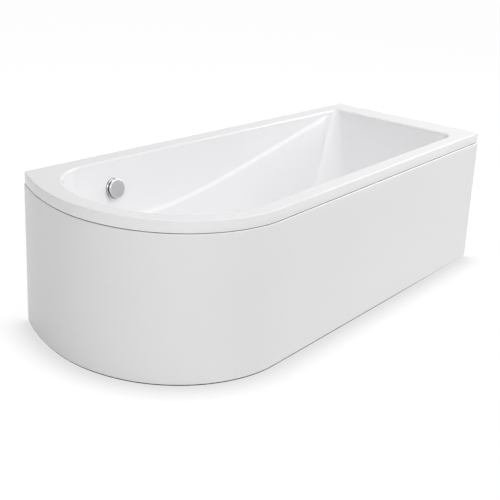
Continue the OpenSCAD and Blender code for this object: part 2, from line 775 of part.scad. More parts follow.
module wall_brackets() {
    hook_y = wall_y - sheet_t - hook_gap - steel_t;
    color("silver")
    for (side = [-1, 1])
        translate([bracket_mid_x + side * bracket_pitch / 2 - bracket_w / 2, 0, 0])
        difference() {
            union() {
                translate([0, wall_y - steel_t, skirt_under - hook_gap - plate_drop])
                cube([bracket_w, steel_t, plate_drop]);
                translate([0, hook_y, skirt_under - hook_gap - steel_t])
                cube([bracket_w, wall_y - hook_y, steel_t]);
                translate([0, hook_y, skirt_under - hook_gap - steel_t])
                cube([bracket_w, steel_t, hook_rise]);
            }
            for (z = [0, hole_pitch])
                translate([bracket_w / 2, wall_y + over_cut,
                    skirt_under - hook_gap - plate_drop + hole_rise + z])
                rotate([90, 0, 0]) cylinder(r = hole_r, h = steel_t + 2 * over_cut);
        }
}

/* ---------------------------------------------------------------- overflow */

ring_wall = 0.4 * ring_h;
ring_bevel = 3;
ring_lip = 3;
module overflow_ring() {
    color("silver")
    on_overflow()
    rotate_extrude($fn = turned_fn)
    polygon([[neck_r, 0], [ring_r, 0], [ring_r, ring_wall], [ring_r - ring_bevel, ring_h],
        [neck_r - ring_lip, ring_h], [neck_r - ring_lip, ring_h / 2], [neck_r, ring_h / 2]]);
}

knob_back = ring_h + knob_gap;
knob_cap = 5;
bore_top = knob_out - knob_cap;
knob_bevel = 3;
knob_waist = 1;
face_t = 4;
grip_w = 8;
grip_d = 3.5;
module overflow_knob() {
    color("silver")
    on_overflow()
    difference() {
        rotate_extrude($fn = turned_fn)
        polygon([[0, knob_back], [knob_r - knob_waist - knob_bevel, knob_back],
            [knob_r - knob_waist, knob_back + knob_bevel], [knob_r - knob_waist, knob_out - face_t],
            [knob_r, knob_out - face_t + knob_waist], [knob_r, knob_out - knob_waist],
            [knob_r - knob_waist, knob_out], [0, knob_out]]);
        translate([0, 0, knob_back - over_cut])
        cylinder(r = spindle_r, h = bore_top - knob_back + over_cut);
        for (side = [-1, 1])
            translate([-grip_w / 2, side > 0 ? knob_r - grip_d : -knob_r - over_cut, knob_back - over_cut])
            cube([grip_w, grip_d + over_cut, knob_out - knob_back + 2 * over_cut]);
    }
}

cam_r = 18;
cam_h = 5;
cam_z = body_mid - cam_h / 2;
spindle_over = 2;
spindle_end = cam_z - spindle_over;
wire_inset = 4;
jacket_t = 1;
module knob_spindle() {
    color("gray")
    on_overflow() translate([0, 0, spindle_end]) cylinder(r = spindle_r, h = bore_top - spindle_end);
}
module cable_cam() {
    color("gold")
    on_overflow() translate([0, 0, cam_z])
    difference() {
        cylinder(r = cam_r, h = cam_h);
        translate([0, 0, -over_cut]) cylinder(r = spindle_r, h = cam_h + 2 * over_cut);
        translate([cam_r - wire_inset, 0, -over_cut])
        cylinder(r = cable_r - jacket_t, h = cam_h + 2 * over_cut);
    }
}
module overflow_gasket() {
    color("dimgray")
    on_overflow() translate([0, 0, body_top])
    difference() {
        cylinder(r = body_r, h = gasket_h);
        translate([0, 0, -over_cut]) cylinder(r = overflow_hole_r, h = gasket_h + 2 * over_cut);
    }
}

// elbow behind the wall: cup, neck through the hole, bush for the spindle, outlet down and cable gland
cable_offset = 27;
cable_x = overflow_x + cable_offset;
gland_r = 6;
gland_start = 16;
gland_l = 22;
gland_stop = 4;
rib_t = 4;
rib_short = 2;
gland_top = outlet_z - gland_start;
gland_under = gland_top - gland_l;
outlet_under = hose_top - spigot_l;
module overflow_body() {
    back = body_top - fitting_t - body_depth;
    color("whitesmoke")
    difference() {
        union() {
            on_overflow() translate([0, 0, back]) cylinder(r = body_r, h = body_top - back);
            on_overflow() translate([0, 0, body_top]) cylinder(r = neck_r, h = -body_top + ring_h / 2);
            translate([overflow_x, outlet_y, outlet_under])
            cylinder(r = spigot_r, h = outlet_z - outlet_under);
            translate([cable_x, outlet_y, gland_under]) cylinder(r = gland_r, h = gland_top - gland_under);
        }
        on_overflow() translate([0, 0, back + fitting_t])
        cylinder(r = body_r - fitting_t, h = body_top - back - 2 * fitting_t);
        on_overflow() translate([0, 0, body_top - fitting_t - over_cut])
        difference() {
            cylinder(r = neck_r - neck_t, h = fitting_t - body_top + ring_h);
            cylinder(r = bush_r, h = fitting_t - body_top + ring_h);
            for (a = [0, 120, 240])
                rotate([0, 0, a]) translate([0, -rib_t / 2, 0])
                cube([neck_r, rib_t, fitting_t - body_top - rib_short]);
        }
        on_overflow() translate([0, 0, body_top - fitting_t - over_cut])
        cylinder(r = spindle_r + run_clear, h = fitting_t - body_top + ring_h);
        translate([overflow_x, outlet_y, outlet_under - over_cut])
        cylinder(r = spigot_r - fitting_t, h = outlet_z - outlet_under + over_cut);
        translate([cable_x, outlet_y, gland_under + gland_stop]) cylinder(r = cable_r, h = gland_l);
    }
}

// hose from the overflow body straight down, round a bend, and straight to the waste body
hose_start = 2;
hose_end_y = waste_y + waste_r + hose_start;
module hose_path(r) {
    translate([overflow_x, outlet_y, hose_z + hose_bend])
    cylinder(r = r, h = hose_top - hose_z - hose_bend);
    translate([overflow_x, outlet_y - hose_bend, hose_z + hose_bend])
    rotate([0, 90, 0])
    rotate_extrude(angle = 90) translate([hose_bend, 0]) circle(r);
    translate([overflow_x, outlet_y - hose_bend, hose_z])
    rotate([90, 0, 0]) cylinder(r = r, h = outlet_y - hose_bend - hose_end_y);
}
module overflow_hose() {
    color("lightgray")
    difference() {
        hose_path(hose_r);
        hose_path(spigot_r);
        translate([overflow_x, outlet_y, hose_top - over_cut]) cylinder(r = spigot_r, h = 2 * over_cut);
        translate([overflow_x, hose_end_y + over_cut, hose_z])
        rotate([90, 0, 0]) cylinder(r = spigot_r, h = 2 * over_cut);
    }
}
nut_short = 4;
nut_l = spigot_l - nut_short;
module hose_nut() {
    difference() {
        cylinder(r = hose_r + nut_t, h = nut_l);
        translate([0, 0, -over_cut]) cylinder(r = hose_r, h = nut_l + 2 * over_cut);
    }
}
module hose_nut_top() {
    color("white") translate([overflow_x, outlet_y, hose_top - nut_l]) hose_nut();
}
module hose_nut_bottom() {
    color("white") translate([overflow_x, hose_end_y, hose_z]) rotate([-90, 0, 0]) hose_nut();
}

// pull cable beside the hose, from the gland of the overflow body to the gland of the waste body
cable_rise = 4;
cable_z = hose_z + cable_rise;
cable_bend = 55;
cable_end_y = waste_y + waste_r + gland_r;
module pull_cable() {
    color("black")
    union() {
        translate([cable_x, outlet_y, cable_z + cable_bend])
        cylinder(r = cable_r, h = gland_under - cable_z - cable_bend);
        translate([cable_x, outlet_y - cable_bend, cable_z + cable_bend])
        rotate([0, 90, 0])
        rotate_extrude(angle = 90) translate([cable_bend, 0]) circle(cable_r);
        translate([cable_x, outlet_y - cable_bend, cable_z])
        rotate([90, 0, 0]) cylinder(r = cable_r, h = outlet_y - cable_bend - cable_end_y);
    }
}

/* ---------------------------------------------------------------- waste */

flange_t = 2;
flange_bevel = 1.5;
collar_r = waste_hole_r - hole_play;
seat_drop = 3;
seat_w = 2.5;
plug_play = 0.4;
guide_r = 6;
module waste_flange() {
    color("silver")
    translate([waste_at.x, waste_at.y, 0])
    difference() {
        union() {
            translate([0, 0, floor_z]) cylinder(r1 = flange_r, r2 = flange_r - flange_bevel, h = flange_t);
            translate([0, 0, waste_top]) cylinder(r = collar_r, h = floor_z - waste_top + eps);
        }
        translate([0, 0, waste_top - over_cut])
        cylinder(r = plug_r + plug_play, h = floor_z + flange_t - waste_top + 2 * over_cut);
        translate([0, 0, floor_z - seat_drop])
        cylinder(r = plug_r + seat_w, h = seat_drop + flange_t + over_cut);
    }
}
module waste_gasket() {
    color("dimgray")
    translate([waste_at.x, waste_at.y, waste_top])
    difference() {
        cylinder(r = flange_r, h = gasket_h);
        translate([0, 0, -over_cut]) cylinder(r = waste_hole_r, h = gasket_h + 2 * over_cut);
    }
}

guide_drop = 12;
guide_z = waste_top - guide_drop;
guide_h = 8;
stem_r = 3;
spoke_t = 3;
brim_t = 4;
pin_out = 17;
// the arm swings up by the plug's travel below the guide
arm_room = 4;
pin_drop = plug_lift + arm_room;
pin_y = waste_y + pin_out;
pin_z = guide_z - pin_drop;
pin_r = 2.5;
module waste_body() {
    inner_r = waste_r - fitting_t;
    color("whitesmoke")
    translate([waste_at.x, waste_at.y, 0])
    difference() {
        union() {
            translate([0, 0, waste_under]) cylinder(r = waste_r, h = waste_h);
            translate([0, 0, waste_top - brim_t]) cylinder(r = flange_r, h = brim_t);
            translate([0, 0, tube_under]) cylinder(r = tube_r, h = tube_drop);
            translate([0, 0, hose_z]) rotate([-90, 0, 0]) cylinder(r = spigot_r, h = waste_r + spigot_l);
            translate([cable_x - waste_at.x, 0, cable_z]) rotate([-90, 0, 0])
            cylinder(r = gland_r, h = cable_end_y - waste_y);
        }
        difference() {
            translate([0, 0, waste_under + fitting_t]) cylinder(r = inner_r, h = waste_h);
            translate([0, 0, guide_z]) guide_spider(inner_r + over_cut);
        }
        translate([0, 0, guide_z - over_cut]) cylinder(r = stem_r + run_clear, h = guide_h + 2 * over_cut);
        translate([0, 0, tube_under - over_cut])
        cylinder(r = tube_r - fitting_t, h = tube_drop + fitting_t + 2 * over_cut);
        translate([0, 0, hose_z]) rotate([-90, 0, 0])
        cylinder(r = spigot_r - fitting_t, h = waste_r + spigot_l + over_cut);
        translate([-waste_r - over_cut, pin_out, pin_z]) rotate([0, 90, 0])
        cylinder(r = pin_r, h = 2 * (waste_r + over_cut));
    }
}
// three-armed guide of the plug's stem
module guide_spider(r) {
    cylinder(r = guide_r, h = guide_h);
    for (a = [90, 210, 330])
        rotate([0, 0, a]) translate([0, -spoke_t / 2, 0]) cube([r, spoke_t, guide_h]);
}

plug_t = 5;
plug_bevel = 2;
plug_edge = 1;
plug_dome = 1;
seal_t = 2;
stem_in = 2;
stem_rise = 6;
seat_room = 0.5;
plug_under = floor_z - seat_drop + seat_room;
stem_under = pin_z + stem_rise;
module popup_plug() {
    color("silver")
    translate([waste_at.x, waste_at.y, plug_under])
    difference() {
        rotate_extrude($fn = turned_fn)
        polygon([[0, 0], [plug_r - plug_bevel, 0], [plug_r, plug_bevel], [plug_r, plug_t - plug_edge],
            [plug_r - plug_edge, plug_t], [0, plug_t + plug_dome]]);
        translate([0, 0, -over_cut]) cylinder(r = stem_r, h = stem_in + over_cut);
    }
}
module plug_seal() {
    color("dimgray")
    translate([waste_at.x, waste_at.y, plug_under - seal_t])
    difference() {
        cylinder(r = plug_r - plug_bevel, h = seal_t);
        translate([0, 0, -over_cut]) cylinder(r = stem_r, h = seal_t + 2 * over_cut);
    }
}
module plug_stem() {
    color("gray")
    translate([waste_at.x, waste_at.y, stem_under])
    cylinder(r = stem_r, h = plug_under + stem_in - stem_under);
}

arm_t = 4;
arm_w = 6;
arm_gap = 0.5;
arm_hub = 5;
arm_tip = 2;
pin_short = 0.5;
arm_top = stem_under - arm_gap;
// lever on the pin: its tip lies under the stem
module lift_arm() {
    color("gold")
    translate([waste_at.x, pin_y, pin_z])
    difference() {
        union() {
            translate([-arm_w / 2, 0, 0]) rotate([0, 90, 0]) cylinder(r = arm_hub, h = arm_w);
            translate([-arm_w / 2, -pin_out - arm_tip, arm_top - pin_z - arm_t])
            cube([arm_w, pin_out + arm_tip, arm_t]);
        }
        translate([-arm_w / 2 - over_cut, 0, 0])
        rotate([0, 90, 0]) cylinder(r = pin_r + run_clear, h = arm_w + 2 * over_cut);
    }
}
module lift_pin() {
    half = sqrt(pow(waste_r, 2) - pow(pin_out, 2)) - pin_short;
    color("gray")
    translate([waste_at.x - half, pin_y, pin_z]) rotate([0, 90, 0]) cylinder(r = pin_r, h = 2 * half);
}

/* ---------------------------------------------------------------- trap */

thread_t = 4;
neck_out = tube_r + thread_t;
neck_h = 8;
neck_top = bottle_top + neck_h;
washer_h = 2;
nut_lip = 2;
module trap_nut() {
    color("white")
    translate([waste_at.x, waste_at.y, bottle_top])
    difference() {
        cylinder(r = neck_out + nut_t, h = neck_h + washer_h + nut_lip);
        translate([0, 0, -over_cut]) cylinder(r = neck_out, h = neck_h + washer_h + over_cut);
        cylinder(r = tube_r, h = neck_h + washer_h + nut_lip + over_cut);
    }
}
module trap_washer() {
    color("dimgray")
    translate([waste_at.x, waste_at.y, neck_top])
    difference() {
        cylinder(r = neck_out, h = washer_h);
        translate([0, 0, -over_cut]) cylinder(r = tube_r, h = washer_h + 2 * over_cut);
    }
}
// the outlet runs to the wall; beyond a collar it is a plain end for the drain's rubber sleeve
outlet_rise = 1;
outlet_axis_z = bottle_under + outlet_r + outlet_rise;
collar_l = 4;
collar_over = 3;
module to_outlet() {
    translate([0, 0, outlet_axis_z]) rotate([-90, 0, 0]) children();
}
module trap_body() {
    color("whitesmoke")
    translate([waste_at.x, waste_at.y, 0])
    difference() {
        union() {
            translate([0, 0, bottle_under]) cylinder(r = bottle_r, h = bottle_h);
            translate([0, 0, bottle_top - eps]) cylinder(r = neck_out, h = neck_h + eps);
            to_outlet() cylinder(r = outlet_r, h = bottle_r + collar_l + outlet_l);
            to_outlet() translate([0, 0, bottle_r - collar_l])
            cylinder(r = outlet_r + collar_over, h = 2 * collar_l);
        }
        translate([0, 0, bottle_under + fitting_t])
        cylinder(r = bottle_r - fitting_t, h = bottle_h - 2 * fitting_t);
        translate([0, 0, bottle_top - fitting_t - over_cut])
        cylinder(r = tube_r, h = neck_h + fitting_t + 2 * over_cut);
        to_outlet() cylinder(r = outlet_r - fitting_t, h = bottle_r + collar_l + outlet_l + over_cut);
    }
}
dip_room = 12;
dip_gap = 1;
dip_t = 2;
module trap_dip_tube() {
    top = waste_under + fitting_t - dip_gap;
    low = bottle_under + dip_room;
    color("lightgray")
    translate([waste_at.x, waste_at.y, low])
    difference() {
        cylinder(r = tube_r - fitting_t, h = top - low);
        translate([0, 0, -over_cut]) cylinder(r = tube_r - fitting_t - dip_t, h = top - low + 2 * over_cut);
    }
}

bath_shell();
front_panel();
base_board();
rim_batten_front();
rim_batten_back();
rim_batten_end();
leg_rail_left();
leg_rail_right();
centre_bracket();
frame_screws();
stud_left_front();
stud_left_back();
stud_right_front();
stud_right_back();
stud_centre();
pad_left_front();
pad_left_back();
pad_right_front();
pad_right_back();
pad_centre();
lock_nuts();
clip_blocks();
panel_clips();
clip_screws();
panel_brackets();
end_stay();
bracket_screws();
wall_brackets();
overflow_ring();
overflow_knob();
knob_spindle();
cable_cam();
overflow_gasket();
overflow_body();
overflow_hose();
hose_nut_top();
hose_nut_bottom();
pull_cable();
waste_flange();
waste_gasket();
waste_body();
popup_plug();
plug_seal();
plug_stem();
lift_arm();
lift_pin();
trap_nut();
trap_washer();
trap_body();
trap_dip_tube();
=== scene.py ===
"""Looks of the shower bath: fine surfaces, procedural finishes, soft light and the camera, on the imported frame."""

import json
import logging
import math
from dataclasses import dataclass
from enum import Enum
from typing import Any, Callable

import bpy
import numpy as np
from mathutils import Matrix, Vector


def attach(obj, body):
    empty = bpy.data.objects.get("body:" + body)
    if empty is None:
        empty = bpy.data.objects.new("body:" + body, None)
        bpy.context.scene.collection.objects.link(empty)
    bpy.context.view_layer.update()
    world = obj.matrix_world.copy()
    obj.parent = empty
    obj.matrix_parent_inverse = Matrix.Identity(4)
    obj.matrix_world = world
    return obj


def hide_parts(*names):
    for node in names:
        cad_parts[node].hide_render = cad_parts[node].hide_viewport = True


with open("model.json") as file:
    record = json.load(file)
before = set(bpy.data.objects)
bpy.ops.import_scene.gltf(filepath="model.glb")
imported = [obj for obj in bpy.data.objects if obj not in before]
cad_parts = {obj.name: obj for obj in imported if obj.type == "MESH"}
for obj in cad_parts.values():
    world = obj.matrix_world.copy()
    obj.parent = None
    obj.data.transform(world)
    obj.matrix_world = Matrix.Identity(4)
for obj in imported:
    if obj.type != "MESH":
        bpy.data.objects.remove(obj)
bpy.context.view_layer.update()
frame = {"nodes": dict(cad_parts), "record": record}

logging.basicConfig(level=logging.INFO, format="%(name)s: %(message)s")
log = logging.getLogger("bath")

Array = np.ndarray
Number = Array | float
Pair = tuple[float, float]
Point = tuple[float, float, float]
Piece = bpy.types.Object
Socket = bpy.types.NodeSocket

TURN = 2 * math.pi
QUARTER = math.pi / 2
OVERFLOW_AT: Point = (-0.485, 0.319131, 0.422)
WASTE_AT: Point = (-0.485, 0.04, 0.12)
WALL_LEAN = math.radians(10.0)
MOST_OF_SIDE = 0.45
LEAST_ROUGH = 0.02
HOLE_COLUMNS = 96


# ------------------------------------------------------------------ small maths

def unit(angle: Number) -> Array:
    """Unit vectors at the given angles in radians, with x and y on the last axis."""
    return np.stack([np.cos(angle), np.sin(angle)], axis=-1)


def mix(a: Number, b: Number, t: Number) -> Number:
    """Straight blend from a to b as t goes from 0 to 1."""
    return a + (b - a) * t


def smooth(t: Array) -> Array:
    """Cubic ease of t, held to the range 0 to 1."""
    held = np.clip(t, 0.0, 1.0)
    return held * held * (3.0 - 2.0 * held)


def around(count: int) -> Array:
    """Angles of a full turn in equal steps."""
    return np.linspace(0.0, TURN, count, endpoint=False)


def plan(x: Number, y: Number) -> Array:
    """Points in plan, where x or y may be one number for all of them."""
    return np.stack(np.broadcast_arrays(x, y), axis=-1)


def raised(points: Array, z: Number) -> Array:
    """Points in plan with a height, which may be one number for all of them."""
    return np.concatenate([points, np.broadcast_to(z, len(points))[:, None]], axis=1)


def spun(at: Pair, r: Array, a: Array, z: Array) -> Array:
    """Points (r cos a, r sin a, z) about an upright axis at the given place."""
    return np.stack([at[0] + r * np.cos(a), at[1] + r * np.sin(a), np.broadcast_to(z, r.shape)], axis=-1)


def gathered(stretch: Array, lines: list[Array]) -> Array:
    """One point for each sample, taken from the line that has the number of the sample's stretch."""
    return np.stack(lines)[stretch, np.arange(len(stretch))]


def soft_ramp(t: Array, half: float) -> Array:
    """Ramp from 0 to 1 over t = 0 to 1 with both corners rounded.

    The ramp is q(t) - q(t - 1), where q is 0 below -half, t above half, and the parabola (t + half)^2 / (4 half)
    in between.

    Args:
        t: places along the ramp.
        half: half the width of each rounded corner.

    Returns:
        The ramp's heights.
    """
    def knee(u: Array) -> Array:
        """The rounded corner q of the ramp."""
        return np.where(u < -half, 0.0, np.where(u > half, u, (u + half) ** 2 / (4.0 * half)))
    return knee(t) - knee(t - 1.0)


def soften(corners: list[list[float]], reach: float, steps: int, closed: bool = True) -> Array:
    """Line through corners, each eased by a quadratic curve.

    With p a corner and a and b the points at reach on its two sides, the curve is
    (1 - t)^2 a + 2 t (1 - t) p + t^2 b. The reach is held to MOST_OF_SIDE of the shorter side.

    Args:
        corners: the corners, one row each.
        reach: distance from a corner at which its curve starts and ends.
        steps: points on each curve.
        closed: whether the line closes on itself; if not, its two ends stay as they are.

    Returns:
        The points of the eased line.
    """
    p = np.array(corners)
    back, ahead = np.roll(p, 1, axis=0) - p, np.roll(p, -1, axis=0) - p
    near, far = np.linalg.norm(back, axis=1), np.linalg.norm(ahead, axis=1)
    held = np.minimum(reach, MOST_OF_SIDE * np.minimum(near, far))[:, None]
    a, b = p + back / near[:, None] * held, p + ahead / far[:, None] * held
    t = np.linspace(0.0, 1.0, steps)[None, :, None]
    curve = (1 - t) ** 2 * a[:, None] + 2 * t * (1 - t) * p[:, None] + t ** 2 * b[:, None]
    if closed:
        return curve.reshape(-1, p.shape[1])
    return np.concatenate([p[:1], curve[1:-1].reshape(-1, p.shape[1]), p[-1:]])


# ------------------------------------------------------------------ meshes

class Surface:
    """Turns numpy grids of points into closed meshes."""

    @staticmethod
    def quads(rows: int, columns: int, wraps: bool) -> Array:
        """Quads of a grid that closes round its columns.

        Args:
            rows: number of rings.
            columns: points in each ring.
            wraps: whether the last ring joins the first.

        Returns:
            Vertex numbers, four to a quad.
        """
        r, c = np.meshgrid(np.arange(rows if wraps else rows - 1), np.arange(columns), indexing="ij")
        here, ahead, turn = r * columns, (r + 1) % rows * columns, (c + 1) % columns
        return np.stack([here + c, here + turn, ahead + turn, ahead + c], axis=-1).reshape(-1, 4)

    @staticmethod
    def build(name: str, points: Array, faces: list[list[int]], sharp: float) -> Piece:
        """Makes an object of points and faces, with smooth faces that break at sharp edges.

        Args:
            name: the piece's name.
            points: vertices, one row each, in metres.
            faces: vertex numbers of each face, anticlockwise from outside.
            sharp: angle in degrees over which an edge stays hard.

        Returns:
            The new object, at the origin.
        """
        mesh = bpy.data.meshes.new(name)
        mesh.from_pydata(points.tolist(), [], faces)
        mesh.polygons.foreach_set("use_smooth", np.ones(len(mesh.polygons), bool))
        mesh.set_sharp_from_angle(angle=math.radians(sharp))
        mesh.update()
        return linked(name, mesh)

    @classmethod
    def skin(cls, name: str, rings: Array, sharp: float = 40.0) -> Piece:
        """Closed skin through rings, with a fan to a middle point at the first and the last.

        Args:
            name: the piece's name.
            rings: points, shaped rings by columns by 3.
            sharp: angle in degrees over which an edge stays hard.

        Returns:
            The new object.
        """
        rows, columns = rings.shape[:2]
        points = np.concatenate([rings.reshape(-1, 3), [rings[0].mean(axis=0)], [rings[-1].mean(axis=0)]])
        turn = np.arange(columns)
        after, top = (turn + 1) % columns, (rows - 1) * columns
        low = np.stack([after, turn, np.full(columns, rows * columns)], axis=-1)
        high = np.stack([top + turn, top + after, np.full(columns, rows * columns + 1)], axis=-1)
        faces = cls.quads(rows, columns, False).tolist() + low.tolist() + high.tolist()
        return cls.build(name, points, faces, sharp)

    @classmethod
    def loops(cls, name: str, grids: list[Array], sharp: float = 50.0) -> Piece:
        """Closed ring-like surfaces in one piece, each from a grid that wraps both ways.

        Args:
            name: the piece's name.
            grids: points of each ring, shaped rows by columns by 3.
            sharp: angle in degrees over which an edge stays hard.

        Returns:
            The new object.
        """
        faces, points, start = [], [], 0
        for grid in grids:
            rows, columns = grid.shape[:2]
            faces += (cls.quads(rows, columns, True) + start).tolist()
            points.append(grid.reshape(-1, 3))
            start += rows * columns
        return cls.build(name, np.concatenate(points), faces, sharp)


@dataclass(frozen=True)
class Stand:
    """Place and lean of a turned part, whose own z runs along its axis."""

    at: Point
    tilt: float = 0.0

    def put(self, points: Array) -> Array:
        """Points of the part's own frame, turned about X by the lean and moved to their place."""
        return points @ np.array(Matrix.Rotation(self.tilt, 3, "X")).T + np.array(self.at)

    def turned(self, profile: Array, columns: int, shape: Callable[[Array, Array], Array] | None = None) -> Array:
        """Profile carried round the axis.

        Args:
            profile: radius and height of each row.
            columns: points round the axis.
            shape: gives the radius from the angle and the plain radius; the part is round without it.

        Returns:
            A grid of points in place, rows by columns by 3.
        """
        a, r = around(columns)[None, :], np.repeat(profile[:, :1], columns, axis=1)
        return self.put(spun((0.0, 0.0), shape(a, r) if shape else r, a, profile[:, 1:]))


def linked(name: str, data: bpy.types.ID) -> Piece:
    """New object of the given mesh, lamp or camera, in the scene."""
    made = bpy.data.objects.new(name, data)
    bpy.context.scene.collection.objects.link(made)
    return made


def drill(piece: Piece, stand: Stand, radius: float, half: float) -> None:
    """Cuts a round hole through a piece and applies the cut.

    Args:
        piece: the object to cut.
        stand: middle of the hole and lean of its axis.
        radius: the hole's radius.
        half: half the cutter's length.
    """
    circle = radius * unit(around(HOLE_COLUMNS))
    cutter = Surface.skin("cutter", stand.put(np.stack([raised(circle, z) for z in (-half, half)])))
    cut = piece.modifiers.new("hole", "BOOLEAN")
    cut.operation, cut.solver, cut.object = "DIFFERENCE", "EXACT", cutter
    bpy.context.view_layer.update()
    done = bpy.data.meshes.new_from_object(piece.evaluated_get(bpy.context.evaluated_depsgraph_get()))
    old = piece.data
    piece.modifiers.clear()
    piece.data = done
    bpy.data.meshes.remove(old)
    bpy.data.objects.remove(cutter)


# ------------------------------------------------------------------ finishes

class Graph:
    """Short way to add shader nodes to one node tree and to join them."""

    def __init__(self, tree: bpy.types.NodeTree) -> None:
        """Keeps the tree that the nodes go into."""
        self.tree = tree

    def feed(self, node: bpy.types.Node, inputs: dict[str | int, Any]) -> bpy.types.Node:
        """Sets or joins a node's inputs.

        Args:
            node: the node.
            inputs: for an input's name or number, its value or the socket that is joined to it.

        Returns:
            The same node.
        """
        for key, value in inputs.items():
            if isinstance(value, Socket):
                self.tree.links.new(value, node.inputs[key])
            else:
                node.inputs[key].default_value = value
        return node

    def add(self, kind: str, inputs: dict[str | int, Any] | None = None, **settings: Any) -> bpy.types.Node:
        """Adds a node.

        Args:
            kind: the node's type, less the ShaderNode that it starts with.
            inputs: what its inputs are set or joined to.
            settings: the node's own settings by name.

        Returns:
            The new node.
        """
        node = self.tree.nodes.new("ShaderNode" + kind)
        for name, value in settings.items():
            setattr(node, name, value)
        return self.feed(node, inputs or {})

    def maths(self, operation: str, *values: Any) -> Socket:
        """Result of a math node on numbers or sockets."""
        return self.add("Math", dict(enumerate(values)), operation=operation).outputs[0]

    def noise(self, place: Socket, scale: float, detail: float, distortion: float = 0.0) -> Socket:
        """Noise value, about 0.5 on average.

        Args:
            place: the coordinates.
            scale: lumps for each metre.
            detail: number of finer layers.
            distortion: how strongly the noise bends itself.

        Returns:
            The value's socket.
        """
        return self.add("TexNoise", {"Vector": place, "Scale": scale, "Detail": detail,
                                     "Distortion": distortion}).outputs["Fac"]

    def cells(self, place: Socket, scale: float) -> Socket:
        """Cells of different brightness, from 0 to 1."""
        colour = self.add("TexVoronoi", {"Vector": place, "Scale": scale}).outputs["Color"]
        return self.add("RGBToBW", {"Color": colour}).outputs["Val"]

    def spread(self, value: Socket, before: Pair, after: Pair, **settings: Any) -> Socket:
        """Value carried from the range before to the range after and held to its ends."""
        return self.add("MapRange", {"Value": value, "From Min": before[0], "From Max": before[1],
                                     "To Min": after[0], "To Max": after[1]}, **settings).outputs["Result"]

    def ramp(self, value: Socket, colours: tuple[Point, Point], stops: Pair) -> Socket:
        """Colour that runs from the first to the second as value goes from the first stop to the second."""
        node = self.add("ValToRGB", {"Fac": value})
        for element, stop, colour in zip(node.color_ramp.elements, stops, colours):
            element.position, element.color = stop, (*colour, 1.0)
        return node.outputs["Color"]

    def bump(self, height: Socket, strength: float, distance: float) -> Socket:
        """Bumped normal from a height."""
        return self.add("Bump", {"Height": height, "Strength": strength, "Distance": distance}).outputs["Normal"]


class Look(Enum):
    """Finishes by name. Each is a material slot of the record, apart from two that share the slot of chrome."""

    ACRYLIC = "acrylic"
    PANEL = "panel_acrylic"
    CHROME = "chrome"
    RING_CHROME = "ring_chrome"
    WASTE_CHROME = "waste_chrome"
    TIMBER = "timber"
    ZINC = "zinc_steel"
    FOOT = "foot_plastic"
    FITTING = "white_fitting"
    HOSE = "grey_hose"
    RUBBER = "rubber_seal"
    BRASS = "brass_part"
    CABLE = "cable_black"

    @property
    def slot(self) -> str:
        """The record's material slot."""
        return "chrome" if self in (Look.RING_CHROME, Look.WASTE_CHROME) else self.value


@dataclass(frozen=True)
class Finish:
    """Plain procedural finish: a slightly mottled colour and roughness with a fine grain."""

    look: Look
    colour: Point
    roughness: float
    metallic: float = 0.0
    mottle: float = 0.02
    mottle_scale: float = 6.0
    rough_spread: float = 0.05
    rough_scale: float = 7.0
    grain: float = 0.05
    grain_scale: float = 900.0
    grain_depth: float = 0.0002
    detail: float = 3.0
    grain_detail: float = 2.0
    stops: Pair = (0.3, 0.7)

    def build(self) -> bpy.types.Material:
        """Makes the material and its node tree.

        Returns:
            The finished material.
        """
        material = bpy.data.materials.new(self.look.value + "_finish")
        material.use_nodes = True
        graph = Graph(material.node_tree)
        place = graph.add("TexCoord").outputs["Object"]
        graph.feed(material.node_tree.nodes["Principled BSDF"], {
            "Metallic": self.metallic, "Base Color": self.tint(graph, place), "Roughness": self.gloss(graph, place),
            "Normal": self.relief(graph, place)})
        return material

    def scaled(self, *amounts: float) -> tuple[Point, ...]:
        """The finish's colour made lighter or darker by each share."""
        return tuple(tuple(min(1.0, c * (1.0 + amount)) for c in self.colour) for amount in amounts)

    def tint(self, graph: Graph, place: Socket) -> Socket:
        """Colour with a faint mottle."""
        value = graph.noise(place, self.mottle_scale, self.detail)
        return graph.ramp(value, self.scaled(-self.mottle, self.mottle), self.stops)

    def gloss(self, graph: Graph, place: Socket) -> Socket:
        """Roughness that varies a little over the piece."""
        value = graph.noise(place, self.mottle_scale * self.rough_scale, self.detail)
        low, high = self.roughness - self.rough_spread, self.roughness + self.rough_spread
        return graph.spread(value, self.stops, (max(LEAST_ROUGH, low), high))

    def relief(self, graph: Graph, place: Socket) -> Socket:
        """Fine grain of the surface."""
        return graph.bump(graph.noise(place, self.grain_scale, self.grain_detail), self.grain, self.grain_depth)


